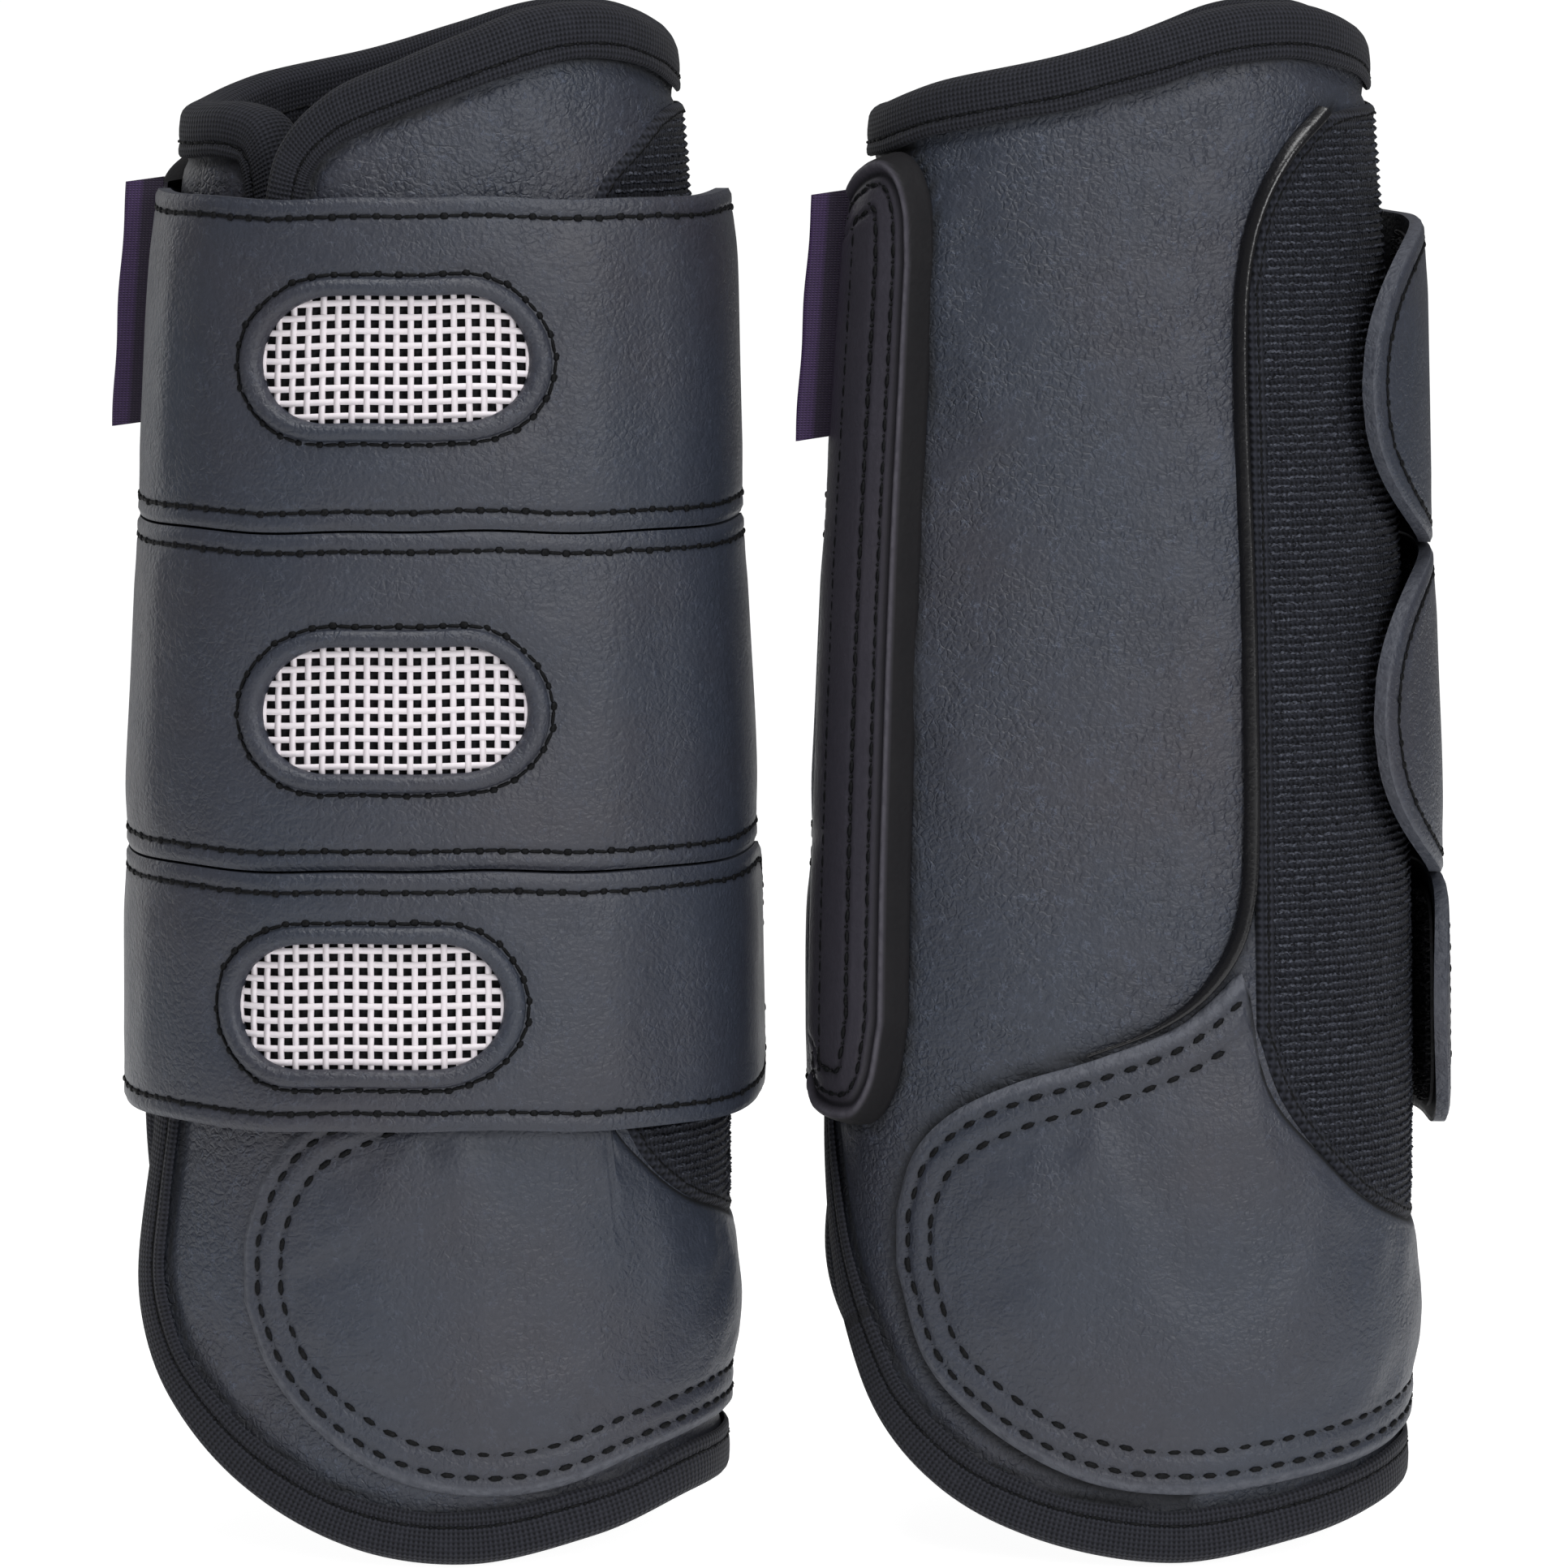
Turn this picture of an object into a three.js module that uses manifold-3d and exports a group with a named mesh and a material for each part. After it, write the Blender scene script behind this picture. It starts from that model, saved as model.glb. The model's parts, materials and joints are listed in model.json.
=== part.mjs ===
// A pair of horse tendon boots, closed as they are worn on the left and the right front leg.
//
// Millimetres, +Z up, +X towards the back of the leg. The origin lies on the left leg's axis,
// level with the boots' lowest edge. Angles are in degrees round the leg from the back of the
// cannon bone, positive on the outer side of the leg and negative on the inner side. A boot's
// shell is one sheet whose inner wing goes on past -180 degrees, round the front, until it
// slips under the outer wing. Offsets are distances outwards from the face of the leather.

import * as THREE from 'three';
import { mergeVertices } from 'three/addons/utils/BufferGeometryUtils.js';
import Module from 'manifold-3d';

const wasm = await Module();
wasm.setup();

const { clamp, degToRad, lerp, radToDeg, smoothstep } = THREE.MathUtils;

// ---------------------------------------------------------------- driving dimensions

const pairPitch = 113.5;
const section = { halfLength: 47.8, halfWidth: 40.5, squareness: 2.4 };
const taper = { start: 68.6, height: 154, power: 1.75, length: 6.5, width: 5.5 };
const patternScale = 0.785;       // millimetres of flat pattern for a degree round the leg

// Inner and outer offset of each layer of the wall.
const wall = { shell: [-1.3, 0], core: [-3, -1.9], lining: [-5, -3.75] };
const wallMesh = { columns: 34, rows: 8, lowBias: 1.3 };
const core = { first: -118, last: 112, low: 42, high: 222, columns: 24, rows: 2 };
const binding = { width: 9, outer: 1.15, inner: -6.2, tape: 0.5, fold: 1.6, stations: 92 };
const layerInset = 2.6;           // from the boot's edge to the edge of each layer
const tuck = { depth: 7.7, from: 54, to: 10, low: 60, high: 165 };
const flare = { height: 2.6, from: 128, to: 162, low: -6, crest: 40, high: 72 };
const seam = { low: 75, high: 222, lowAngle: 159, highAngle: 131 };

const strap = {
  cut: 0.4, rootAngle: 214, slit: 0.7,
  inner: 1.5, thin: 1.2, thick: 2.4,
  rearInner: 4.2, riseFrom: 66, riseTo: 22,
  topLift: 1.4, topFrom: 165, topTo: 222,
  liftFrom: 116, liftTo: 134, thinFrom: 181, thinTo: 189, flareTo: 6,
  hingeGap: 0.2, step: 8.8, baseColumns: 8, tipPoints: 10,
};
const hook = { thickness: 1.3, gap: 0.45, margin: 2.5, startAngle: 12 };
const vent = {
  length: 40.6, height: 20.4, meshInner: 0.6, meshOuter: 1.4, meshGap: 0.4, segments: 6,
};
const rim = { inner: 0.2, outer: 2.9, foot: 0.4, height: 0.9, stations: 24 };

// How far a cutting solid reaches through the wall, and past the strap that it cuts.
const cutter = { inner: -5, outer: 15, pastTip: 8, pastSide: 4 };

// padLift raises the lowest strap over the strike pad, and tipFlare bends its end outwards.
const straps = [
  {
    name: 'upper', low: 169, high: 222.7, ventAngle: 96, ventHeight: 196.6,
    hingeAngle: 149, reach: 39, rows: 2, padLift: 0, tipFlare: 0.9,
  },
  {
    name: 'middle', low: 114.3, high: 169, ventAngle: 96, ventHeight: 140.2,
    hingeAngle: 150, reach: 38, rows: 1, padLift: 0, tipFlare: 0.9,
  },
  {
    name: 'lower', low: 72, high: 114.3, ventAngle: 101, ventHeight: 92.5,
    hingeAngle: 163, reach: 16, rows: 1, padLift: 1.3, tipFlare: 1.4,
  },
];

// The left boot shows its outer side towards -Y. The right boot is its mirror image, and its
// straps lie a little lower at the back.
const boots = [
  { name: 'left', side: 1, x: 0, strapDrop: 0 },
  { name: 'right', side: -1, x: pairPitch, strapDrop: 4.5 },
];

// The boot's edge, as [angle, height], anticlockwise on the flat pattern.
const edgeBottom = [
  [-158, 34], [-147, 21.5], [-130, 10.5], [-109, 3.7], [-78, 0.2], [-50, 3.2], [-24, 6.8],
  [0, 8], [28, 8.4], [52, 3.8], [80, 0], [107, 2.4], [131, 11], [147, 21.5],
];
const edgeOuterFront = [
  [156, 31], [161.5, 43], [162, 57], [159, 75], [152.5, 109], [145, 148], [138.4, 184],
  [132.5, 214],
];
const edgeTop = [
  [128.5, 230.5], [117, 239], [95, 245], [76, 249.3], [58, 253], [40, 253.6], [20, 250.6], [0, 247.6],
  [-20, 250.6], [-40, 253.4], [-60, 253.2], [-85, 249.3], [-110, 245.2], [-140, 241.4],
  [-165, 237.6], [-188, 237], [-204, 237.2], [-214.5, 235],
];
const edgeInnerFront = [
  [-221, 228.5], [-224.5, 217], [-225.5, 192], [-219, 166], [-208, 140], [-196, 110], [-187, 89],
  [-179.5, 71], [-173, 57], [-165.5, 44],
];

const padBottom = [
  [-141, 48], [-134, 33], [-121, 23], [-100, 14.5], [-76, 12], [-50, 14], [-20, 17.5], [0, 19.5],
  [22, 20], [42, 17.5], [60, 13], [77, 11.7], [98, 14.6], [114, 22], [125, 32], [130.5, 43],
];
const padTop = [
  [-141, 57], [-137, 66.5], [-129, 73.5], [-115, 79.3], [-97, 83.5], [-78, 89], [-68, 95],
  [-64, 102], [-61.5, 86], [-57, 77], [-48, 68], [-35, 59], [-15, 53.2], [0, 52.4], [17, 55.4],
  [31, 59], [42, 65.5], [50, 74], [52, 100], [62, 92], [80, 84.5], [105, 77], [119, 71], [127, 62],
  [130.5, 53],
];
const loopBottom = [
  [-59.5, 86], [-55, 77.5], [-47, 69], [-34, 60], [-15, 54.2], [0, 53.4], [17, 56.4], [30, 60],
  [41, 66.5], [48.5, 75],
];
const loopTop = [
  [-59.5, 208], [-55, 220], [-47, 228.5], [-37, 234.4], [-18, 236.6], [0, 236.8], [14, 236.8],
  [25, 235], [35, 230.6], [44, 225.4], [48.5, 220],
];
const pipingPath = [
  [-59.5, 104], [-59.5, 150], [-59.5, 208], [-55, 220], [-47, 228.5], [-37, 234.4],
];
const panelBottom = [[-171, 70.5], [-150, 73.5], [-143.5, 76.5], [-139, 81], [-137, 88]];
const panelTop = [[-171, 229.5], [-148, 228.5], [-142, 226.4], [-138.5, 222], [-137, 214]];

const relief = {                  // inner and outer offset of what is sewn on the shell
  pad: [0.4, 2.3], loop: [0.4, 1.9], piping: [0.4, 2.2], panel: [3.05, 5.1],
};
const piping = { width: 2.4, gap: 0.8, columns: 16 };
const patchStep = 9.2;           // widest column of a patch, in degrees
const label = { angle: -174.5, low: 184, high: 224.5, root: 4.35, tip: 9.6, thickness: 0.8 };

const look = {
  leather: { color: 0x3f444b, roughness: 0.55, metalness: 0 },
  foam: { color: 0x2b2d31, roughness: 0.95, metalness: 0 },
  lining: { color: 0x17181b, roughness: 0.95, metalness: 0 },
  binding: { color: 0x1b1d20, roughness: 0.9, metalness: 0 },
  panel: { color: 0x2e2f35, roughness: 0.35, metalness: 0 },
  loop: { color: 0x1c1e22, roughness: 1, metalness: 0 },
  hook: { color: 0x18191c, roughness: 0.85, metalness: 0 },
  mesh: { color: 0xe4dfe0, roughness: 0.5, metalness: 0 },
  label: { color: 0x372a4d, roughness: 0.8, metalness: 0 },
};

// ---------------------------------------------------------------- the leg's shape

function legRadius(angle, z, offset) {
  const narrowing = Math.max(0, (z - taper.start) / taper.height) ** taper.power;
  const halfLength = section.halfLength - taper.length * narrowing + offset;
  const halfWidth = section.halfWidth - taper.width * narrowing + offset;
  const along = Math.abs(Math.cos(degToRad(angle)) / halfLength) ** section.squareness;
  const across = Math.abs(Math.sin(degToRad(angle)) / halfWidth) ** section.squareness;
  return (along + across) ** (-1 / section.squareness);
}

function onLeg(boot, angle, z, offset) {
  const radius = legRadius(angle, z, offset);
  const turn = degToRad(angle);
  return new THREE.Vector3(radius * Math.cos(turn), -boot.side * radius * Math.sin(turn), z);
}

// The front edge of the outer wing, on the scale of the inner wing's angles.
function seamAngle(z) {
  const rise = clamp((z - seam.low) / (seam.high - seam.low), 0, 1);
  return lerp(seam.lowAngle, seam.highAngle, rise) - 360;
}

// The inner wing sinks under the outer one, and the outer one's lower front edge stands proud.
function wingOffset(angle, z) {
  if (angle > 0) {
    const rising = smoothstep(z, flare.low, flare.crest);
    const falling = 1 - smoothstep(z, flare.crest, flare.high);
    return flare.height * smoothstep(angle, flare.from, flare.to) * rising * falling;
  }
  const beforeSeam = angle - seamAngle(z);
  const closeness = 1 - smoothstep(beforeSeam, tuck.to, tuck.from);
  return -tuck.depth * closeness * smoothstep(z, tuck.low, tuck.high);
}

function onShell(boot, angle, z, offset) {
  return onLeg(boot, angle, z, offset + wingOffset(angle, z));
}

// ---------------------------------------------------------------- closed solids

const weldDistance = 1e-4;

// Leaves only shared corners and makes the faces point outwards, in a mirrored boot too.
function closed(geometry) {
  geometry.deleteAttribute('normal');
  geometry.deleteAttribute('uv');
  const merged = mergeVertices(geometry, weldDistance);
  const position = merged.attributes.position;
  const index = merged.index.array;
  const [a, b, c] = [new THREE.Vector3(), new THREE.Vector3(), new THREE.Vector3()];
  let volume = 0;
  for (let i = 0; i < index.length; i += 3) {
    a.fromBufferAttribute(position, index[i]);
    b.fromBufferAttribute(position, index[i + 1]);
    c.fromBufferAttribute(position, index[i + 2]);
    volume += a.dot(b.cross(c));
  }
  if (volume < 0) {
    for (let i = 0; i < index.length; i += 3) {
      [index[i], index[i + 1]] = [index[i + 1], index[i]];
    }
  }
  return merged;
}

// Splits every four-cornered cell of a grid along its shorter diagonal.
function splitShort(geometry) {
  const position = geometry.attributes.position;
  const index = geometry.index.array;
  const corner = (i) => new THREE.Vector3().fromBufferAttribute(position, i);
  for (let i = 0; i < index.length; i += 6) {
    const [a, b, d, , c] = index.subarray(i, i + 5);
    if (corner(a).distanceTo(corner(c)) < corner(b).distanceTo(corner(d))) {
      index.set([a, b, c, a, c, d], i);
    }
  }
  return geometry;
}

// Bends a unit box into a sheet. place(u, v, w) gives each corner, with w = 1 on the outer face.
function bentSheet(columns, rows, place) {
  const geometry = new THREE.BoxGeometry(1, 1, 1, columns, rows, 1);
  const position = geometry.attributes.position;
  for (let i = 0; i < position.count; i += 1) {
    const point = place(position.getX(i) + 0.5, position.getY(i) + 0.5, position.getZ(i) + 0.5);
    position.setXYZ(i, point.x, point.y, point.z);
  }
  return closed(splitShort(geometry));
}

// Bends a torus into a closed band. place(station, corner) gives each corner of its section.
function closedBand(stations, corners, place) {
  const geometry = new THREE.TorusGeometry(2, 1, corners, stations);
  const position = geometry.attributes.position;
  for (let corner = 0; corner <= corners; corner += 1) {
    for (let station = 0; station <= stations; station += 1) {
      const point = place(station % stations, corner % corners);
      position.setXYZ(corner * (stations + 1) + station, point.x, point.y, point.z);
    }
  }
  return closed(splitShort(geometry));
}

function toManifold(geometry) {
  return new wasm.Manifold(new wasm.Mesh({
    numProp: 3,
    vertProperties: new Float32Array(geometry.attributes.position.array),
    triVerts: new Uint32Array(geometry.index.array),
  }));
}

// A flat outline pushed square through the leg's surface. place(x, y, offset) lays it out.
function prismOn(shape, curveSegments, place) {
  const prism = new THREE.ExtrudeGeometry(shape, { depth: 1, steps: 1, bevelEnabled: false, curveSegments });
  const position = prism.attributes.position;
  for (let i = 0; i < position.count; i += 1) {
    const offset = lerp(cutter.inner, cutter.outer, position.getZ(i));
    const point = place(position.getX(i), position.getY(i), offset);
    position.setXYZ(i, point.x, point.y, point.z);
  }
  return toManifold(closed(prism));
}

function fromManifold(body) {
  const mesh = body.getMesh();
  const geometry = new THREE.BufferGeometry();
  geometry.setAttribute('position', new THREE.BufferAttribute(mesh.vertProperties, 3));
  geometry.setIndex(new THREE.BufferAttribute(mesh.triVerts, 1));
  return geometry;
}

// ---------------------------------------------------------------- outlines

// The boot's whole edge as one smooth closed curve on the flat pattern, in millimetres.
const edgeSides = [edgeBottom, edgeOuterFront, edgeTop, edgeInnerFront];
const edgePoints = edgeSides.flat();
const edgeCurve = new THREE.CatmullRomCurve3(
  edgePoints.map(([angle, z]) => new THREE.Vector3(angle * patternScale, z, 0)), true, 'centripetal',
);

// A point of the edge, moved square to it towards the middle of the boot, as [angle, height].
function edgePoint(t, inset) {
  const point = edgeCurve.getPoint(t);
  const tangent = edgeCurve.getTangent(t);
  return [(point.x - tangent.y * inset) / patternScale, point.y + tangent.x * inset];
}

// One side of the inset edge, drawn evenly by its length.
function edgeSide(index, inset) {
  const first = edgeSides.slice(0, index).flat().length / edgePoints.length;
  const last = first + edgeSides[index].length / edgePoints.length;
  const samples = 60;
  const points = [];
  for (let i = 0; i <= samples; i += 1) {
    points.push(new THREE.Vector2(...edgePoint(lerp(first, last, i / samples) % 1, inset)));
  }
  const side = new THREE.SplineCurve(points);
  return (t) => side.getPointAt(t).toArray();
}

// Fills the edge with a smooth grid: u runs from the inner wing to the outer, v runs up.
function wallGrid(inset) {
  const [bottom, outerFront, top, innerFront] = [0, 1, 2, 3].map((index) => edgeSide(index, inset));
  const corners = [bottom(0), bottom(1), top(0), top(1)];
  return (u, v) => [0, 1].map((axis) => {
    const ruled = lerp(bottom(u)[axis], top(1 - u)[axis], v)
      + lerp(innerFront(1 - v)[axis], outerFront(v)[axis], u);
    const low = lerp(corners[0][axis], corners[1][axis], u);
    const high = lerp(corners[3][axis], corners[2][axis], u);
    return ruled - lerp(low, high, v);
  });
}

// Turns a list of [angle, height] into a smooth height for any angle.
function heightCurve(points) {
  const curve = new THREE.SplineCurve(points.map(([angle, z]) => new THREE.Vector2(angle, z)));
  const samples = curve.getPoints(points.length * 8);
  return (angle) => {
    const next = samples.findIndex((sample) => sample.x >= angle);
    if (next <= 0) return next === 0 ? samples[0].y : samples[samples.length - 1].y;
    const [before, after] = [samples[next - 1], samples[next]];
    return lerp(before.y, after.y, (angle - before.x) / Math.max(after.x - before.x, 1e-6));
  };
}

// A column at every point of an outline, and more between them where they are far apart.
function columnAngles(points, widest) {
  const angles = [points[0][0]];
  for (const [angle] of points.slice(1)) {
    const start = angles[angles.length - 1];
    const steps = Math.ceil((angle - start) / widest);
    for (let i = 1; i <= steps; i += 1) angles.push(lerp(start, angle, i / steps));
  }
  return angles;
}

// A sheet between two height curves, sewn on the shell with the given offsets.
function patchSheet(boot, bottomPoints, topPoints, [inner, outer], rows, place = onShell) {
  const [bottom, top] = [heightCurve(bottomPoints), heightCurve(topPoints)];
  const angles = columnAngles(topPoints, patchStep);
  return bentSheet(angles.length - 1, rows, (u, v, w) => {
    const angle = angles[Math.round(u * (angles.length - 1))];
    return place(boot, angle, lerp(bottom(angle), top(angle), v), lerp(inner, outer, w));
  });
}

// ---------------------------------------------------------------- the shell and its trim

function wallLayer(boot, [inner, outer]) {
  const grid = wallGrid(layerInset);
  return bentSheet(wallMesh.columns, wallMesh.rows, (u, v, w) => {
    const [angle, z] = grid(u, v ** wallMesh.lowBias);
    return onShell(boot, angle, z, lerp(inner, outer, w));
  });
}

// The shock pad between leather and lining, behind the tendon and on both sides of the leg.
function foamCore(boot) {
  return bentSheet(core.columns, core.rows, (u, v, w) => onShell(
    boot, lerp(core.first, core.last, u), lerp(core.low, core.high, v), lerp(...wall.core, w),
  ));
}

// The tape is folded over the edge, so its section is a U open towards the wall.
function edgeBinding(boot) {
  const { width, outer, inner, tape, fold, stations } = binding;
  const profile = [
    [width, outer - tape], [width, outer], [0, outer], [0, inner],
    [width, inner], [width, inner + tape], [fold, inner + tape], [fold, outer - tape],
  ];
  return closedBand(stations, profile.length, (station, corner) => {
    const [inset, offset] = profile[corner];
    const [angle, z] = edgePoint(edgeCurve.getUtoTmapping(station / stations), inset);
    return onShell(boot, angle, z, offset);
  });
}

function spinePiping(boot) {
  const path = new THREE.SplineCurve(
    pipingPath.map(([angle, z]) => new THREE.Vector2(angle * patternScale, z)),
  );
  return bentSheet(piping.columns, 1, (u, v, w) => {
    const point = path.getPointAt(u);
    const tangent = path.getTangentAt(u);
    const side = piping.gap + v * piping.width;
    const angle = (point.x - tangent.y * side) / patternScale;
    return onShell(boot, angle, point.y + tangent.x * side, lerp(...relief.piping, w));
  });
}

function labelTab(boot) {
  const halfTurn = radToDeg(label.thickness / 2 / section.halfLength);
  return bentSheet(1, 1, (u, v, w) => onLeg(
    boot, label.angle + lerp(-halfTurn, halfTurn, u), lerp(label.low, label.high, v),
    lerp(label.root, label.tip, w),
  ));
}

// ---------------------------------------------------------------- the straps

// How far a strap's edge lies below its height at the front.
function strapSag(boot, angle) {
  return boot.strapDrop * clamp(1 - angle / 180, 0, 1);
}

// Inner face of a strap: it climbs over the hook and loop at the back of the leg.
function strapInner(model, angle, z) {
  const front = strap.inner + model.padLift * (1 - smoothstep(angle, strap.liftFrom, strap.liftTo));
  const rear = strap.rearInner + strap.topLift * smoothstep(z, strap.topFrom, strap.topTo);
  const flareOut = model.tipFlare * (1 - smoothstep(angle, -model.reach, strap.flareTo));
  return lerp(rear, front, smoothstep(angle, strap.riseTo, strap.riseFrom)) + flareOut;
}

function strapThickness(angle) {
  return lerp(strap.thick, strap.thin, smoothstep(angle, strap.thinFrom, strap.thinTo));
}

// A band of a strap's height between two angles. offset(w, thickness) is counted from the
// strap's inner face, and margin is taken off both long edges.
function strapBand(boot, model, [first, last], [columns, rows], margin, offset) {
  const [low, high] = [model.low + margin, model.high - margin];
  return bentSheet(columns, rows, (u, v, w) => {
    const angle = lerp(first, last, u);
    const z = lerp(low, high, v) - strapSag(boot, angle);
    return onLeg(boot, angle, z, strapInner(model, angle, z) + offset(w, strapThickness(angle)));
  });
}

const wholeThickness = (w, thickness) => w * thickness;

// The fixed front of a strap, sewn down under the anchor panel.
function strapBase(boot, model) {
  const span = [model.hingeAngle + strap.cut, strap.rootAngle];
  return strapBand(boot, model, span, [strap.baseColumns, 1], strap.slit / 2, wholeThickness);
}

// What has to come off a square band to give it the strap's rounded end, less a margin.
function tipCutter(boot, model, margin) {
  const halfHeight = (model.high - model.low) / 2;
  const reach = model.reach * patternScale - margin;
  const curve = new THREE.EllipseCurve(0, 0, reach, halfHeight - margin, Math.PI / 2, -Math.PI / 2, true);
  const beyond = { x: reach + cutter.pastTip, y: halfHeight + cutter.pastSide };
  const shape = new THREE.Shape([
    new THREE.Vector2(beyond.x, beyond.y), new THREE.Vector2(0, beyond.y),
    ...curve.getPoints(strap.tipPoints),
    new THREE.Vector2(0, -beyond.y), new THREE.Vector2(beyond.x, -beyond.y),
  ]);
  const middle = (model.low + model.high) / 2;
  return prismOn(shape, 1, (x, y, offset) => {
    const angle = -x / patternScale;
    return onLeg(boot, angle, middle + y - strapSag(boot, angle), offset);
  });
}

function strapFlap(boot, model) {
  const span = [model.hingeAngle - strap.cut, -model.reach];
  const columns = Math.ceil((span[0] - span[1]) / strap.step);
  const flap = strapBand(boot, model, span, [columns, model.rows], strap.slit / 2, wholeThickness);
  const outline = toManifold(flap).subtract(tipCutter(boot, model, strap.slit / 2));
  return fromManifold(outline.subtract(ventPrism(boot, model, 0)));
}

function hookPatch(boot, model) {
  const span = [hook.startAngle, -model.reach];
  const columns = Math.ceil((span[0] - span[1]) / strap.step);
  const patch = strapBand(boot, model, span, [columns, model.rows], hook.margin, (w) => (
    -hook.gap - (1 - w) * hook.thickness
  ));
  return fromManifold(toManifold(patch).subtract(tipCutter(boot, model, hook.margin)));
}

// ---------------------------------------------------------------- the air vents

function ventShape(grow) {
  const radius = vent.height / 2 + grow;
  const straight = (vent.length - vent.height) / 2;
  const shape = new THREE.Shape();
  shape.absarc(straight, 0, radius, -Math.PI / 2, Math.PI / 2);
  shape.absarc(-straight, 0, radius, Math.PI / 2, 1.5 * Math.PI);
  shape.closePath();
  return shape;
}

// Lays a flat point of the vent on the strap: x backwards round the leg, y up, and an offset
// from the strap's inner face.
function onStrap(boot, model, x, y, offset) {
  const radius = legRadius(model.ventAngle, model.ventHeight, strap.inner);
  const angle = model.ventAngle - radToDeg(x / radius);
  const z = model.ventHeight + y - strapSag(boot, angle);
  return onLeg(boot, angle, z, strapInner(model, angle, z) + offset);
}

function ventPrism(boot, model, grow) {
  return prismOn(ventShape(grow), vent.segments, (x, y, offset) => onStrap(boot, model, x, y, offset));
}

function ventMesh(boot, model) {
  const sheet = bentSheet(3, 1, (u, v, w) => onStrap(
    boot, model, (u - 0.5) * vent.length, (v - 0.5) * vent.height,
    lerp(vent.meshInner, vent.meshOuter, w),
  ));
  return fromManifold(toManifold(sheet).intersect(ventPrism(boot, model, -vent.meshGap)));
}

function ventRim(boot, model) {
  const foot = strap.thick + rim.foot;
  const [inside, outside] = [rim.inner, rim.outer].map(
    (grow) => ventShape(grow).getSpacedPoints(rim.stations),
  );
  const profile = [[inside, 0], [outside, 0], [outside, rim.height], [inside, rim.height]];
  return closedBand(rim.stations, profile.length, (station, corner) => {
    const [outline, height] = profile[corner];
    return onStrap(boot, model, outline[station].x, outline[station].y, foot + height);
  });
}

// ---------------------------------------------------------------- the scene

function addMesh(group, name, geometry, material) {
  const moved = geometry.clone().translate(-group.position.x, -group.position.y, 0);
  moved.computeVertexNormals();
  const mesh = new THREE.Mesh(moved, new THREE.MeshStandardMaterial(material));
  mesh.name = name;
  group.add(mesh);
}

// A strap's hinge stands just outside its outer face, so that it opens clear of its base.
function strapHinge(boot, model) {
  const z = model.low - strapSag(boot, model.hingeAngle);
  return onLeg(boot, model.hingeAngle, z, strap.inner + strap.thick + strap.hingeGap).setZ(0);
}

function buildBoot(boot) {
  const group = new THREE.Group();
  const add = (name, geometry, material) => addMesh(group, `${boot.name}_${name}`, geometry, material);

  add('outer_shell', wallLayer(boot, wall.shell), look.leather);
  add('foam_core', foamCore(boot), look.foam);
  add('lining', wallLayer(boot, wall.lining), look.lining);
  add('edge_binding', edgeBinding(boot), look.binding);
  add('strike_pad', patchSheet(boot, padBottom, padTop, relief.pad, 2), look.leather);
  add('loop_field', patchSheet(boot, loopBottom, loopTop, relief.loop, 3), look.loop);
  add('spine_piping', spinePiping(boot), look.panel);
  add('anchor_panel', patchSheet(boot, panelBottom, panelTop, relief.panel, 5, onLeg), look.panel);
  add('label_tab', labelTab(boot), look.label);

  for (const model of straps) {
    add(`strap_base_${model.name}`, strapBase(boot, model), look.leather);
    const hinge = new THREE.Group();
    hinge.position.copy(strapHinge(boot, model));
    const hang = (name, geometry, material) => addMesh(
      hinge, `${boot.name}_${name}_${model.name}`, geometry, material,
    );
    hang('strap', strapFlap(boot, model), look.leather);
    hang('hook_patch', hookPatch(boot, model), look.hook);
    hang('vent_rim', ventRim(boot, model), look.leather);
    hang('vent_mesh', ventMesh(boot, model), look.mesh);
    group.add(hinge);
  }
  group.position.x = boot.x;
  return group;
}

const pair = new THREE.Group();
for (const boot of boots) pair.add(buildBoot(boot));

export default pair;
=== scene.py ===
import json
import math
from functools import partial

import bpy
import numpy as np
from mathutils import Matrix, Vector


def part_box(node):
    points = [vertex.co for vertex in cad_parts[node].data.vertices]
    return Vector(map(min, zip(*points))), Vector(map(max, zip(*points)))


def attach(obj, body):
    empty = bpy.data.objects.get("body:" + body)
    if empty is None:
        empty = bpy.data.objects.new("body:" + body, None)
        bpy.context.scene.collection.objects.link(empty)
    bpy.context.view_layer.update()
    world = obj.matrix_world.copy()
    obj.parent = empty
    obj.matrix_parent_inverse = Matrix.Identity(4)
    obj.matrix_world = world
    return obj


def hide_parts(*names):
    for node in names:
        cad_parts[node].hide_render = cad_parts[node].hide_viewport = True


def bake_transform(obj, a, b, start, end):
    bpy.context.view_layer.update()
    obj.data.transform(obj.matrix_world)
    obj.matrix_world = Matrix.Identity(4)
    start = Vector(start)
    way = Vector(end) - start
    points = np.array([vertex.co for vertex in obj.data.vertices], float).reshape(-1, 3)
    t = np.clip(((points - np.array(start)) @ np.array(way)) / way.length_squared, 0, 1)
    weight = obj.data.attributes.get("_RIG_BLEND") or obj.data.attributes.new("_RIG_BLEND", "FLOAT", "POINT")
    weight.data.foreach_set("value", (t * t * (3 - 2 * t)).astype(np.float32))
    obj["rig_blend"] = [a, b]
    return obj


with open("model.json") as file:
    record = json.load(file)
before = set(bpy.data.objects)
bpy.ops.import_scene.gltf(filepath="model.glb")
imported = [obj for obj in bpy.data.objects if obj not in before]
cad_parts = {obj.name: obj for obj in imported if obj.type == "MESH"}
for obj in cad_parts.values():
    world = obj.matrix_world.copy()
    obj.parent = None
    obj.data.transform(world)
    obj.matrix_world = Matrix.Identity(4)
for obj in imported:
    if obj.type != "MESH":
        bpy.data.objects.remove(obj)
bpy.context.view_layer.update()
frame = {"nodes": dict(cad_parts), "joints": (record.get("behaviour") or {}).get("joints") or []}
scene = bpy.context.scene
mm = 0.001

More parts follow.
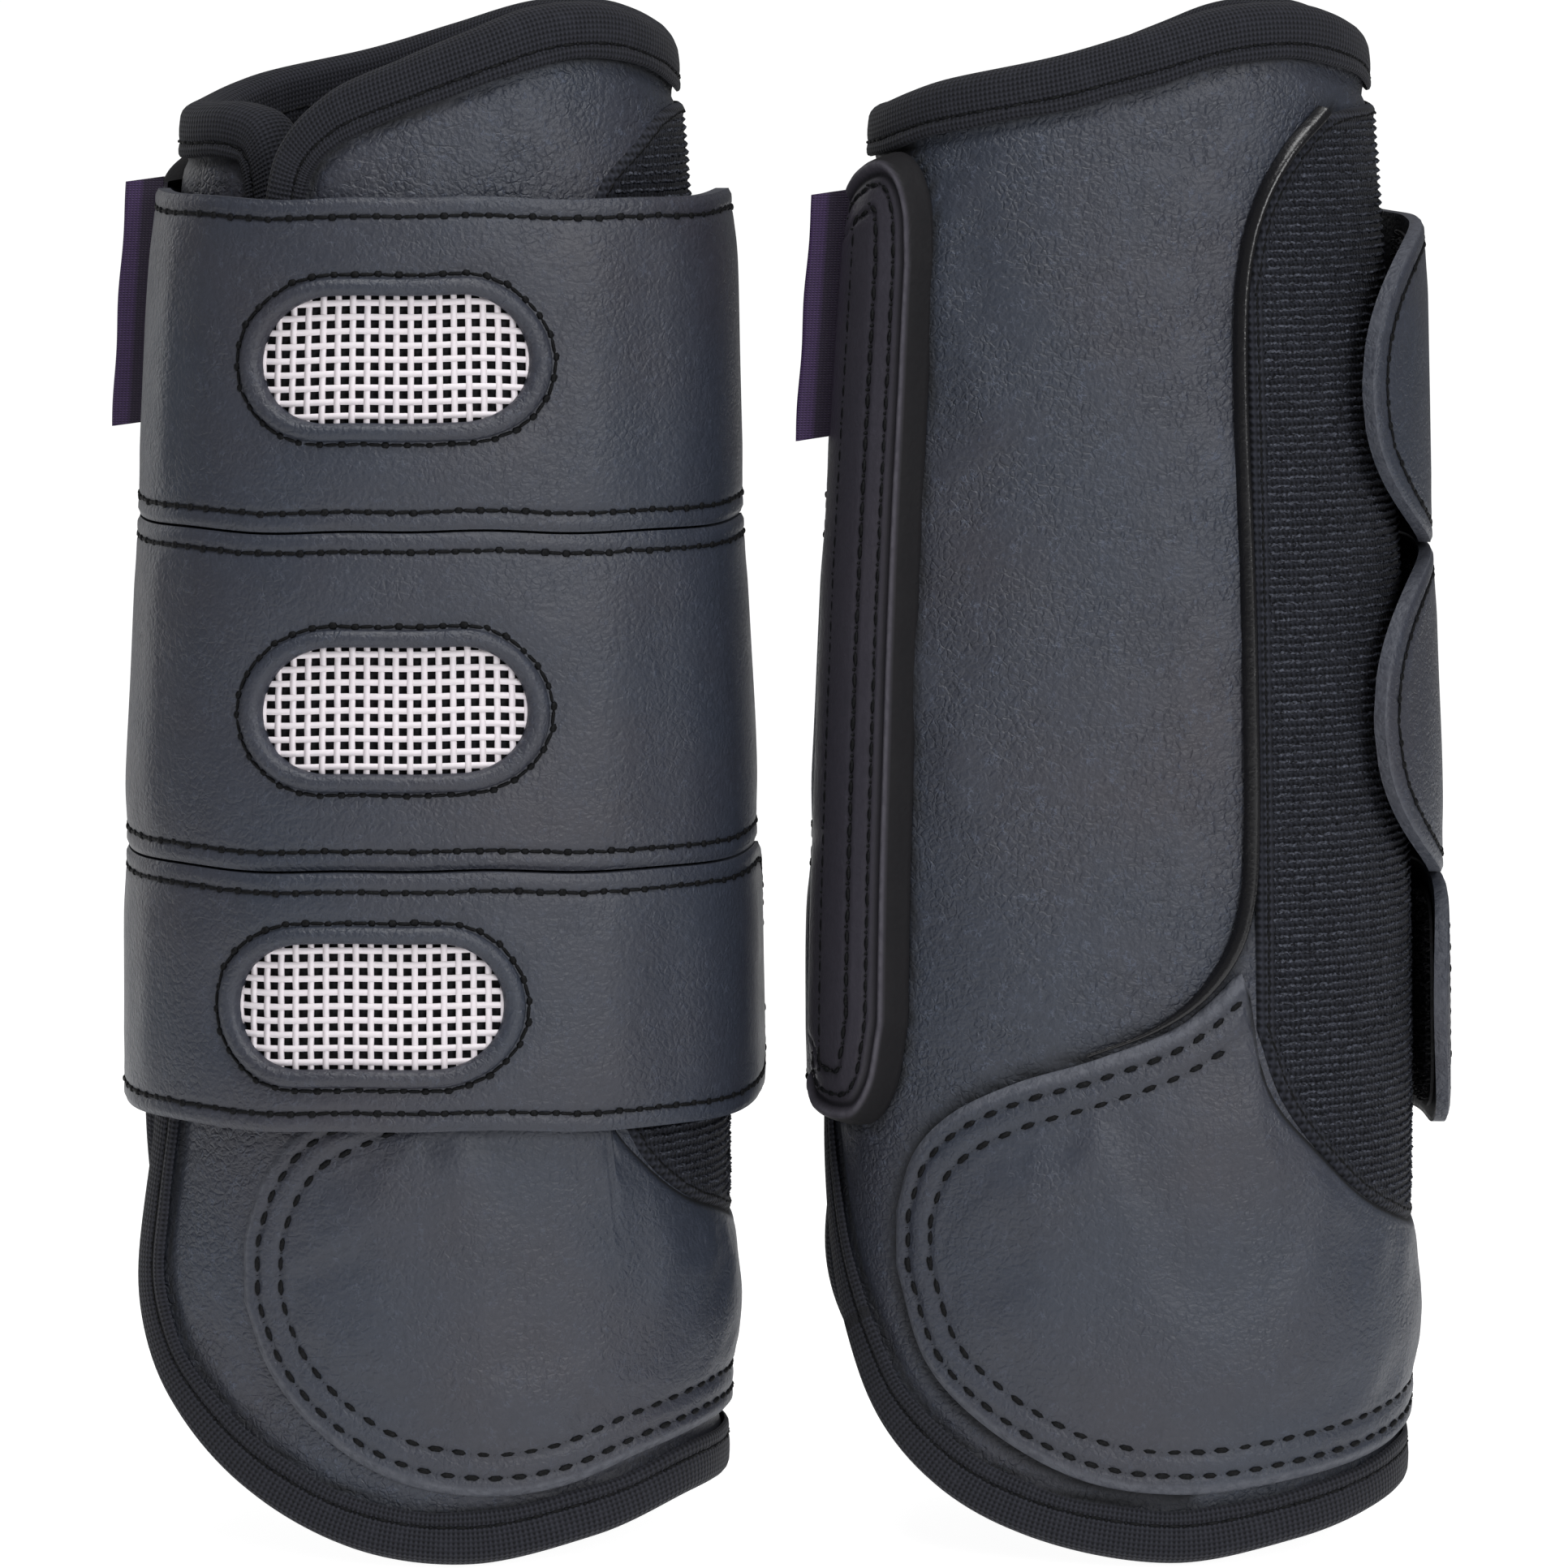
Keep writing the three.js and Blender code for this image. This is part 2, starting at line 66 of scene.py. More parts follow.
# The camera looks a little down on the pair from the left boot's outer side.
view = {"target": (0.0581, 0.0, 0.1239), "back": 1.363, "rise": 0.150, "lens": 189.5}


def setCamera():
    data = bpy.data.cameras.new("camera")
    data.lens = view["lens"]
    data.sensor_width = 36
    data.clip_end = 50
    eye = bpy.data.objects.new("camera", data)
    scene.collection.objects.link(eye)
    target = Vector(view["target"])
    eye.location = target + Vector((0, -view["back"], view["rise"]))
    eye.rotation_euler = (target - eye.location).to_track_quat("-Z", "Y").to_euler()
    scene.camera = eye


setCamera()

# ---- the shape of the leg; all sizes from here on are in millimetres and degrees round the leg,
# counted from the back of the leg, positive on its outer side
leg = {
    "halfLength": 47.8, "halfWidth": 40.5, "squareness": 2.4, "perDegree": 0.785,
    "taperFrom": 68.6, "taperHeight": 154, "taperPower": 1.75, "taperLength": 6.5, "taperWidth": 5.5,
}
# the inner wing sinks under the outer one, and the outer one's lower front edge stands proud
wing = {
    "depth": 7.7, "from": 54, "to": 10, "low": 60, "high": 165,
    "flare": 2.6, "flareFrom": 128, "flareTo": 162, "flareLow": -6, "flareCrest": 40, "flareHigh": 72,
    "seamLow": 75, "seamHigh": 222, "seamLowAngle": 159, "seamHighAngle": 131,
}


def lerp(a, b, t):
    return a + (b - a) * t


def ease(x, low, high):
    # 0 below low, 1 above high and smooth between
    t = np.clip((x - low) / (high - low), 0, 1)
    return t * t * (3 - 2 * t)


def dip(x, centre, width):
    # a smooth bump of height 1
    return np.exp(-(((x - centre) / width) ** 2))


def legRadius(angle, z, offset):
    narrow = np.maximum(0, (z - leg["taperFrom"]) / leg["taperHeight"]) ** leg["taperPower"]
    length = leg["halfLength"] - leg["taperLength"] * narrow + offset
    width = leg["halfWidth"] - leg["taperWidth"] * narrow + offset
    turn = np.radians(angle)
    along = np.abs(np.cos(turn) / length) ** leg["squareness"]
    across = np.abs(np.sin(turn) / width) ** leg["squareness"]
    return (along + across) ** (-1 / leg["squareness"])


def onLeg(boot, angle, z, offset):
    angle, z, offset = np.broadcast_arrays(*(np.asarray(v, float) for v in (angle, z, offset)))
    radius = legRadius(angle, z, offset)
    turn = np.radians(angle)
    x = boot["x"] + radius * np.cos(turn)
    y = -boot["side"] * radius * np.sin(turn)
    return np.stack([x, y, z], -1) * mm


def wingOffset(angle, z):
    rise = np.clip((z - wing["seamLow"]) / (wing["seamHigh"] - wing["seamLow"]), 0, 1)
    seam = lerp(wing["seamLowAngle"], wing["seamHighAngle"], rise) - 360
    tucked = (1 - ease(angle - seam, wing["to"], wing["from"])) * ease(z, wing["low"], wing["high"])
    crest = wing["flareCrest"]
    proud = ease(z, wing["flareLow"], crest) * (1 - ease(z, crest, wing["flareHigh"]))
    flare = wing["flare"] * ease(angle, wing["flareFrom"], wing["flareTo"]) * proud
    return np.where(angle > 0, flare, -wing["depth"] * tucked)


def onShell(boot, angle, z, offset):
    return onLeg(boot, angle, z, offset + wingOffset(angle, z))


def ripple(angle, z, seed):
    # slow soft waves, so that no wall is perfectly even
    a, b = angle * leg["perDegree"] / 10, z / 10
    waves = np.sin(0.9 * a + 0.5 * b + seed) + np.sin(0.35 * a - 1.1 * b + 2.1 * seed)
    return (waves + 0.6 * np.sin(1.9 * a + 1.4 * b - seed) * np.sin(0.7 * b + seed)) / 2.6


def bootList():
    pitch = (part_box("right_lining")[0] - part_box("left_lining")[0]).x / mm
    return [
        {"name": "left", "side": 1, "x": 0.0, "drop": 0.0, "labelDrop": 0.0, "seed": 1.3},
        {"name": "right", "side": -1, "x": pitch, "drop": 4.5, "labelDrop": 1.8, "seed": 4.1},
    ]


# ---- curves and outlines on the flat pattern

def smoothLine(points, closed=False, perSpan=12):
    # a centripetal curve through the points
    p = np.asarray(points, float)
    if closed:
        p = np.concatenate([p[-1:], p, p[:2]])
    else:
        p = np.concatenate([[2 * p[0] - p[1]], p, [2 * p[-1] - p[-2]]])
    gap = np.linalg.norm(np.diff(p, axis=0), axis=1)[:, None] ** 0.5
    parts = []
    for i in range(1, len(p) - 2):
        a, b, c, d = p[i - 1: i + 3]
        g0, g1, g2 = gap[i - 1], gap[i], gap[i + 1]
        m1 = g1 * ((b - a) / g0 - (c - a) / (g0 + g1) + (c - b) / g1)
        m2 = g1 * ((c - b) / g1 - (d - b) / (g1 + g2) + (d - c) / g2)
        t = (np.arange(perSpan) / perSpan)[:, None]
        cubic = 2 * b - 2 * c + m1 + m2
        square = -3 * b + 3 * c - 2 * m1 - m2
        parts.append(b + m1 * t + square * t ** 2 + cubic * t ** 3)
    line = np.concatenate(parts)
    return line if closed else np.concatenate([line, p[-2:-1]])


def lengths(line):
    return np.concatenate([[0], np.cumsum(np.linalg.norm(np.diff(line, axis=0), axis=1))])


def evenly(line, count):
    run = lengths(line)
    at = np.linspace(0, run[-1], count)
    return np.stack([np.interp(at, run, line[:, k]) for k in range(line.shape[1])], -1)


def crowded(count, share):
    # steps from 0 to 1 that are closer together near both ends
    t = np.linspace(0, 1, count + 1)
    return lerp(t, 0.5 - 0.5 * np.cos(math.pi * t), share)


def slowing(count, share):
    # steps from 0 to 1 that are closer together near 1
    t = np.linspace(0, 1, count + 1)
    return lerp(t, np.sin(t * math.pi / 2), share)


def inwards(line, closed=False):
    # unit normals on the left of a line, which is the inside of an anticlockwise outline
    if closed:
        tangent = np.roll(line, -1, 0) - np.roll(line, 1, 0)
    else:
        tangent = np.gradient(line, axis=0)
    tangent /= np.linalg.norm(tangent, axis=1)[:, None]
    return np.stack([-tangent[:, 1], tangent[:, 0]], -1)


def distanceTo(points, line):
    flat = points.reshape(-1, 2)
    best = np.full(len(flat), 1e9)
    for a, b in zip(line[:-1], line[1:]):
        edge = b - a
        t = np.clip(((flat - a) @ edge) / max(edge @ edge, 1e-12), 0, 1)
        best = np.minimum(best, np.hypot(*(flat - a - t[:, None] * edge).T))
    return best.reshape(points.shape[:-1])


def toFlat(points):
    # from degrees round the leg to millimetres on the flat pattern
    return np.asarray(points, float) * (leg["perDegree"], 1)


def fromFlat(points):
    return points[..., 0] / leg["perDegree"], points[..., 1]


def pattern(angle, z):
    return np.stack([angle * leg["perDegree"], z], -1)


def heightAt(points):
    line = smoothLine(points, perSpan=10)
    return lambda angle: np.interp(angle, line[:, 0], line[:, 1])


# ---- meshes

def outward(points, faces):
    # turns the faces round if a closed mesh is inside out
    p = points[faces]
    volume = np.einsum("ij,ij->i", p[:, 0], np.cross(p[:, 1], p[:, 2])).sum()
    volume += np.einsum("ij,ij->i", p[:, 0], np.cross(p[:, 2], p[:, 3])).sum()
    return faces[:, ::-1] if volume < 0 else faces


def store(mesh, key, values):
    # a number or a direction for each point
    values = np.asarray(values, np.float32)
    kind, field = ("FLOAT", "value") if values.ndim == 1 else ("FLOAT_VECTOR", "vector")
    mesh.attributes.new(key, kind, "POINT").data.foreach_set(field, values.reshape(-1))


def makePiece(name, points, faces, material, uv=None, values=None, crease=42):
    used = np.unique(faces)
    place = np.zeros(len(points), int)
    place[used] = np.arange(len(used))
    points, faces = points[used], place[faces]
    faces = outward(points, faces)
    mesh = bpy.data.meshes.new(name)
    mesh.from_pydata(points.tolist(), [], faces.tolist())
    corner = faces.reshape(-1)
    if uv is not None:
        layer = mesh.uv_layers.new(name="pattern")
        layer.data.foreach_set("uv", uv[used][corner].astype(np.float32).reshape(-1))
    for key, value in (values or {}).items():
        store(mesh, key, value[used])
    mesh.polygons.foreach_set("use_smooth", np.ones(len(faces), bool))
    mesh.set_sharp_from_angle(angle=math.radians(crease))
    mesh.materials.append(material)
    mesh.validate()
    piece = bpy.data.objects.new(name, mesh)
    scene.collection.objects.link(piece)
    return piece


def quads(ids):
    return np.stack([ids[:-1, :-1], ids[1:, :-1], ids[1:, 1:], ids[:-1, 1:]], -1)


def slab(outer, inner, keep=None):
    # points and faces of a sheet with a wall all round, and round any hole
    columns, rows = outer.shape[:2]
    ids = np.arange(columns * rows).reshape(columns, rows)
    cells = quads(ids).reshape(-1, 4)
    if keep is not None:
        cells = cells[keep.reshape(-1)]
    sides = np.concatenate([cells[:, [k, (k + 1) % 4]] for k in range(4)])
    total = columns * rows
    alone = ~np.isin(sides[:, 0] * total + sides[:, 1], sides[:, 1] * total + sides[:, 0])
    rim = sides[alone]
    walls = np.stack([rim[:, 1], rim[:, 0], rim[:, 0] + total, rim[:, 1] + total], -1)
    faces = np.concatenate([cells, cells[:, ::-1] + total, walls])
    return np.concatenate([outer.reshape(-1, 3), inner.reshape(-1, 3)]), faces


def layer(place, angle, z, outer, inner, keep=None):
    # a sheet between two offsets of a surface
    return slab(place(angle, z, outer), place(angle, z, inner), keep)


def both(values):
    # the same per-point values for the outer and the inner face of a slab
    flat = values.reshape(-1, *values.shape[2:])
    return np.concatenate([flat, flat])


def band(sections):
    # points and faces of a closed ring of closed sections, [station, corner]
    stations, corners = sections.shape[:2]
    ids = np.arange(stations * corners).reshape(stations, corners)
    nextStation, nextCorner = np.roll(ids, -1, 0), np.roll(ids, -1, 1)
    faces = np.stack([ids, nextStation, np.roll(nextStation, -1, 1), nextCorner], -1).reshape(-1, 4)
    return sections.reshape(-1, 3), faces


# ---- node trees: Wire is a socket that can be used in sums, Board adds the nodes

class Wire:
    def __init__(self, board, socket):
        self.board, self.socket = board, socket

    def maths(self, operation, *values):
        return self.board.add("ShaderNodeMath", {"operation": operation}, dict(enumerate(values)))

    def __add__(self, other):
        return self.maths("ADD", self, other)

    def __sub__(self, other):
        return self.maths("SUBTRACT", self, other)

    def __rsub__(self, other):
        return self.maths("SUBTRACT", other, self)

    def __mul__(self, other):
        return self.maths("MULTIPLY", self, other)

    def __truediv__(self, other):
        return self.maths("DIVIDE", self, other)

    __radd__, __rmul__ = __add__, __mul__

    def wave(self):
        return self.maths("SINE", self)

    def size(self):
        return self.maths("ABSOLUTE", self)

    def clamped(self, low=0.0, high=1.0):
        return self.board.add("ShaderNodeClamp", {}, {"Value": self, "Min": low, "Max": high})

    def between(self, low, high):
        # 0 below low and 1 above high
        return ((self - low) / (high - low)).clamped()


class Board:
    def __init__(self, tree):
        self.tree = tree

    def add(self, kind, settings=None, inputs=None, out=0):
        node = self.tree.nodes.new(kind)
        for key, value in (settings or {}).items():
            setattr(node, key, value)
        for key, value in (inputs or {}).items():
            socket = self.pick(node.inputs, key)
            if isinstance(value, Wire):
                self.tree.links.new(value.socket, socket)
            else:
                socket.default_value = value
        return Wire(self, self.pick(node.outputs, out)) if node.outputs else None

    @staticmethod
    def pick(sockets, key):
        if isinstance(key, int):
            return [s for s in sockets if s.enabled][key] if key < len(sockets) else sockets[key]
        return next(s for s in sockets if s.name == key and s.enabled)

    def mix(self, factor, a, b):
        return self.add(
            "ShaderNodeMix", {"data_type": "RGBA"}, {"Factor": factor, "A": a, "B": b}, "Result")


def colour(r, g, b):
    return (r, g, b, 1)


def shaded(c, share):
    return (c[0] * share, c[1] * share, c[2] * share, 1)


def newBoard(name):
    material = bpy.data.materials.new(name)
    material.use_nodes = True
    material.node_tree.nodes.clear()
    return material, Board(material.node_tree)


def surface(board, base, roughness, height=None, depth=1.0, **fixed):
    # depth is the bump's height in millimetres where height is 1
    inputs = {"Base Color": base, "Roughness": roughness}
    if height is not None:
        inputs["Normal"] = board.add("ShaderNodeBump", {}, {"Distance": depth * mm, "Height": height})
    inputs.update({key.replace("_", " "): value for key, value in fixed.items()})
    shader = board.add("ShaderNodeBsdfPrincipled", {}, inputs)
    board.add("ShaderNodeOutputMaterial", {}, {"Surface": shader})


def placed(board):
    return board.add("ShaderNodeTexCoord", {}, {}, "Object")


def painted(board, name):
    return board.add("ShaderNodeAttribute", {"attribute_name": name}, {}, "Fac")


def onPattern(board):
    # the two directions of a piece's own pattern, in metres
    uv = board.add("ShaderNodeUVMap", {"uv_map": "pattern"})
    parts = board.add("ShaderNodeSeparateXYZ", {}, {"Vector": uv})
    return parts, Wire(board, parts.socket.node.outputs[1])


def vector(board, operation, inputs):
    return board.add("ShaderNodeVectorMath", {"operation": operation}, inputs)


def noise(board, at, size, detail=2.0, rough=0.5):
    # size is a feature's size in millimetres
    return board.add("ShaderNodeTexNoise", {}, {
        "Vector": at, "Scale": 1 / (size * mm), "Detail": detail, "Roughness": rough})


def cells(board, at, size, feature="F1"):
    return board.add("ShaderNodeTexVoronoi", {"feature": feature}, {
        "Vector": at, "Scale": 1 / (size * mm)}, "Distance")


def warped(board, at, size, amount):
    # moves a pattern about, so that its cells aren't even
    push = board.add(
        "ShaderNodeTexNoise", {}, {"Vector": at, "Scale": 1 / (size * mm), "Detail": 1.0}, "Color")
    centred = vector(board, "SUBTRACT", {0: push, 1: (0.5, 0.5, 0.5)})
    scaled = vector(board, "SCALE", {"Vector": centred, "Scale": amount * mm})
    return vector(board, "ADD", {0: at, 1: scaled})


# ---- finishes

# paintedGlint is how strongly short light flecks are painted on the grain as highlights
slate = {
    "base": (0.0245, 0.0295, 0.0430), "warm": (0.0330, 0.0310, 0.0390), "edge": (0.085, 0.090, 0.108),
    "grain": 0.85, "net": 1.45, "netDepth": 0.24, "creaseDepth": 0.24, "depth": 0.50, "paintedGlint": 0.6,
    "rough": 0.35, "shine": 0.42,
}
smoothSlate = {**slate, "netDepth": 0.16, "creaseDepth": 0.16, "depth": 0.36, "paintedGlint": 0.3}
coated = {
    **slate,
    # on the anchor panel this edge colour marks only the crest of its border bead, as a painted highlight
    "base": (0.0400, 0.0375, 0.0480), "warm": (0.0470, 0.0430, 0.0530), "edge": (0.120, 0.115, 0.135),
    "netDepth": 0.08, "creaseDepth": 0.1, "rough": 0.24, "depth": 0.12, "paintedGlint": 0.1,
    "shine": 0.2,
}
glossy = {
    **coated,
    "base": (0.0040, 0.0040, 0.0052), "warm": (0.0050, 0.0048, 0.0058), "rough": 0.16, "shine": 0.42,
}


def ridges(board, at, size, width):
    # thin wandering lines where a noise passes its middle value
    field = noise(board, at, size, 3.0)
    return 1 - (field - 0.5).size().between(0.0, width)


def leather(name, look):
    material, board = newBoard(name)
    at = placed(board)
    grain = cells(board, warped(board, at, 1.3, 0.9), look["grain"], "SMOOTH_F1")
    pores = noise(board, at, 0.55, 3.0, 0.6)
    net = cells(board, warped(board, at, 1.5, 1.6), look["net"], "DISTANCE_TO_EDGE")
    net = (1 - net.between(0.0, 0.2)) * noise(board, at, 9.0, 2.0).between(0.36, 0.56)
    long = vector(board, "MULTIPLY", {0: at, 1: (0.6, 0.6, 1.2)})
    foldPlace = noise(board, at, 11.0).between(0.44, 0.6)
    folds = ridges(board, warped(board, long, 5.0, 2.4), 4.2, 0.05) * foldPlace
    creasePlace = noise(board, at, 15.0).between(0.54, 0.7)
    crease = ridges(board, warped(board, at, 9.0, 4.0), 8.0, 0.03) * creasePlace
    crease = (crease * 0.5 + 0.8 * folds).clamped()
    marks = crease * look["creaseDepth"] + net * look["netDepth"]
    glintPlace = noise(board, at, 1.9).between(0.5, 0.66)
    glints = ridges(board, warped(board, at, 2.0, 1.0), 1.1, 0.05) * glintPlace
    tone = noise(board, at, 38.0, 3.0)
    cloud = noise(board, at, 7.0, 3.0)
    edge, paintedShade = painted(board, "edge"), painted(board, "paintedShade")
    base = board.mix(tone.between(0.4, 0.8), colour(*look["base"]), colour(*look["warm"]))
    base = board.mix(cloud.between(0.35, 0.7) * 0.12, base, shaded(look["base"], 1.5))
    # painted highlights: short light flecks on the grain stand in for glints of the lamps off it
    base = board.mix(glints * look["paintedGlint"], base, shaded(look["base"], 3.0))
    base = board.mix(marks * 0.42, base, shaded(look["base"], 0.35))
    base = board.mix(grain.between(0.35, 0.75) * 0.2, base, shaded(look["base"], 0.55))
    # on the guard's and straps' cut edges this is their paler raw edge; on the anchor panel's border bead it
    # is a painted highlight
    worn = edge * (0.45 + 0.55 * noise(board, at, 1.6, 2.0).between(0.35, 0.6))
    base = board.mix(worn * 0.8, base, colour(*look["edge"]))
    # painted shade: where a piece marks it, the colour is darkened almost to black in seams, grooves, gaps
    # and on walls, as if in shadow
    base = board.mix(paintedShade.clamped(), base, shaded(look["base"], 0.08))
    height = 0.6 - 0.34 * grain + 0.34 * pores + 0.1 * glints - marks
    rough = look["rough"] + 0.14 * cloud + 0.08 * grain + 0.2 * edge + 0.4 * paintedShade
    surface(board, base, rough.clamped(), height, look["depth"], Specular_IOR_Level=look["shine"])
    return material


def knit(name, dark, light, pitch, rowPitch, depth):
    # ribs across the tape, each broken up by its rows of loops; uv is in metres
    material, board = newBoard(name)
    at = placed(board)
    along, across = onPattern(board)
    sway = noise(board, at, 6.0) * 0.5
    rib = (along * (2 * math.pi / (pitch * mm)) + sway).wave()
    row = (across * (2 * math.pi / (rowPitch * mm)) + rib * 0.9 + sway).wave()
    loop = (0.5 + 0.28 * rib + 0.22 * row) * (0.75 + 0.5 * noise(board, at, 0.35, 1.0))
    lint = noise(board, at, 2.4, 3.0).between(0.5, 0.8)
    base = board.mix(loop.clamped(), colour(*dark), colour(*light))
    base = board.mix(lint * 0.2, base, shaded(light, 1.5))
    surface(board, base, (0.92 - 0.16 * loop).clamped(), loop, depth,
            Sheen_Weight=0.04, Sheen_Roughness=0.5, Specular_IOR_Level=0.16)
    return material


def fibres(name, base, tip, size, shine=0.15):
    # thread, hooks and loops: dark yarn with short streaks of a second, lighter colour, painted highlights
    # that stand in for glints
    material, board = newBoard(name)
    at = placed(board)
    strand = noise(board, at, size, 3.0, 0.65)
    patch = noise(board, at, size * 9, 2.0)
    mixed = board.mix(strand.between(0.42, 0.68) * (0.35 + 0.65 * patch), colour(*base), colour(*tip))
    surface(board, mixed, (0.82 - 0.3 * strand).clamped(), strand, 0.12, Specular_IOR_Level=shine)
    return material


def coatedMesh():
    material, board = newBoard("coated mesh")
    at = placed(board)
    soft = noise(board, at, 1.1, 2.0)
    grime = noise(board, at, 9.0, 3.0).between(0.5, 0.85)
    base = board.mix(soft, colour(0.66, 0.605, 0.635), colour(0.76, 0.705, 0.735))
    base = board.mix(grime * 0.3, base, colour(0.50, 0.46, 0.48))
    surface(board, base, 0.42 + 0.15 * soft, soft, 0.05, Subsurface_Weight=0.05)
    return material


def wovenLabel():
    material, board = newBoard("woven label")
    at = placed(board)
    along, across = onPattern(board)
    weft = (along * (2 * math.pi / (0.42 * mm))).wave()
    warp = (across * (2 * math.pi / (0.55 * mm)) + 1.57 * weft).wave()
    thread = (0.5 + 0.3 * weft + 0.2 * warp) * (0.8 + 0.4 * noise(board, at, 0.4))
    root = 1 - across.between(6.4 * mm, 7.2 * mm)
    base = board.mix(thread.clamped(), colour(0.010, 0.005, 0.018), colour(0.060, 0.030, 0.105))
    base = board.mix(root * 0.75, base, colour(0.0045, 0.003, 0.007))
    surface(board, base, (0.75 - 0.25 * thread).clamped(), thread, 0.08, Specular_IOR_Level=0.3)
    return material


def foam():
    material, board = newBoard("closed cell foam")
    at = placed(board)
    pores = cells(board, at, 0.8)
    base = board.mix(pores.clamped(), colour(0.012, 0.013, 0.015), colour(0.032, 0.034, 0.038))
    surface(board, base, 0.95 - 0.1 * pores, pores, 0.2)
    return material


finish = {
    "leather": leather("grained leather", slate),
    "strap": leather("smooth leather", smoothSlate),
    "panel": leather("coated leather", coated),
    "piping": leather("glossy edging", glossy),
    "binding": knit("ribbed tape", (0.0032, 0.0034, 0.0046), (0.0230, 0.0240, 0.0320), 0.92, 0.80, 0.2),
    "lining": knit("lining knit", (0.003, 0.003, 0.0036), (0.014, 0.0145, 0.017), 1.5, 1.1, 0.2),
    "selvedge": knit("loop selvedge", (0.0020, 0.0022, 0.0032), (0.024, 0.0260, 0.036), 1.35, 0.9, 0.25),
    # the second colour of the loop pile, the hook pile and the thread is their painted highlight
    "loops": fibres("loop pile", (0.0026, 0.0028, 0.0044), (0.115, 0.125, 0.160), 0.45),
    "hooks": fibres("hook pile", (0.0022, 0.0022, 0.003), (0.024, 0.024, 0.029), 0.5, 0.3),
    "thread": fibres("black thread", (0.0010, 0.0011, 0.0014), (0.0075, 0.008, 0.010), 0.35, 0.14),
    "mesh": coatedMesh(),
    "label": wovenLabel(),
    "foam": foam(),
}
print("finishes made:", len(finish))


# ---- geometry nodes: rows of stitches, ribs, strands and hooks grown on lines laid on the surface

def newTree(name, sizes):
    # sizes are the tree's own inputs, in metres but for "Lean"
    tree = bpy.data.node_groups.new(name, "GeometryNodeTree")
    newSocket = tree.interface.new_socket
    newSocket(name="Lines", in_out="INPUT", socket_type="NodeSocketGeometry")
    for key, value in sizes.items():
        newSocket(name=key, in_out="INPUT", socket_type="NodeSocketFloat").default_value = value
    newSocket(name="Material", in_out="INPUT", socket_type="NodeSocketMaterial")
    newSocket(name="Geometry", in_out="OUTPUT", socket_type="NodeSocketGeometry")
    board = Board(tree)
    source = tree.nodes.new("NodeGroupInput")
    return board, {s.name: Wire(board, s) for s in source.outputs if s.name}


def closeTree(board, shapes, material):
    real = board.add("GeometryNodeRealizeInstances", {}, {"Geometry": shapes})
    smooth = board.add("GeometryNodeSetShadeSmooth", {}, {"Geometry": real})
    coloured = board.add("GeometryNodeSetMaterial", {}, {"Geometry": smooth, "Material": material})
    sink = board.tree.nodes.new("NodeGroupOutput")
    board.tree.links.new(coloured.socket, sink.inputs[0])
    return board.tree


def lineValue(board, name, kind):
    return board.add("GeometryNodeInputNamedAttribute", {"data_type": kind}, {"Name": name}, "Attribute")


def scaledVector(board, direction, amount):
    return vector(board, "SCALE", {"Vector": direction, "Scale": amount})


def turnedBy(board, rotation, x, y, z):
    return board.add("FunctionNodeRotateRotation", {"rotation_space": "LOCAL"}, {
        "Rotation": rotation, "Rotate By": combine(board, x, y, z)})


def placedOn(board, points, shape, rotation, size):
    return board.add("GeometryNodeInstanceOnPoints", {}, {
        "Points": points, "Instance": shape, "Rotation": rotation, "Scale": size})


def roundSection(board, corners, thick):
    return board.add("GeometryNodeCurvePrimitiveCircle", {}, {
        "Resolution": corners, "Radius": thick * 0.5})


def tubeOf(board, line, section, **more):
    return board.add("GeometryNodeCurveToMesh", {}, {
        "Curve": line, "Profile Curve": section, "Fill Caps": True, **more})


def spacedLine(board, lines, step):
    curve = board.add("GeometryNodeMeshToCurve", {}, {"Mesh": lines})
    return board.add("GeometryNodeResampleCurve", {"mode": "LENGTH"}, {"Curve": curve, "Length": step})


def upright(board):
    return lineValue(board, "up", "FLOAT_VECTOR")


def alongLine(board):
    tangent = board.add("GeometryNodeInputTangent")
    first = board.add("FunctionNodeAlignRotationToVector", {"axis": "X"}, {"Vector": tangent})
    return board.add("FunctionNodeAlignRotationToVector", {"axis": "Z", "pivot_axis": "X"}, {
        "Rotation": first, "Vector": upright(board)})


def combine(board, x, y, z):
    return board.add("ShaderNodeCombineXYZ", {}, {"X": x, "Y": y, "Z": z})


def randomNumber(board, low, high, seed):
    kind = "FLOAT_VECTOR" if isinstance(low, tuple) else "FLOAT"
    return board.add("FunctionNodeRandomValue", {"data_type": kind}, {
        "Min": low, "Max": high, "Seed": seed}, "Value")


def stitchTree():
    board, given = newTree("stitch rows", {
        "Pitch": 0.0034, "Length": 0.0026, "Thick": 0.0006, "Hole": 0.0009})
    thick, hole = given["Thick"], given["Hole"]
    points = spacedLine(board, given["Lines"], given["Pitch"])
    ball = board.add("GeometryNodeMeshUVSphere", {}, {"Segments": 6, "Rings": 5, "Radius": 0.5})
    thread = board.add("GeometryNodeTransform", {}, {
        "Geometry": ball, "Scale": combine(board, given["Length"], thick, thick * 0.8)})
    dot = board.add("GeometryNodeMeshUVSphere", {}, {"Segments": 6, "Rings": 4, "Radius": 0.5})
    needleHole = board.add("GeometryNodeTransform", {}, {
        "Geometry": dot, "Translation": combine(board, given["Pitch"] * 0.5, 0.0, 0.0),
        "Scale": combine(board, hole, hole * 0.76, thick)})
    stitch = board.add("GeometryNodeJoinGeometry", {}, {"Geometry": thread})
    board.tree.links.new(needleHole.socket, stitch.socket.node.inputs[0])
    pitched, yawed = randomNumber(board, -0.06, 0.06, 3), randomNumber(board, -0.09, 0.09, 5)
    turned = turnedBy(board, alongLine(board), 0.0, pitched, yawed)
    laid = placedOn(board, points, stitch, turned, randomNumber(board, 0.92, 1.08, 7))
    return closeTree(board, laid, given["Material"])


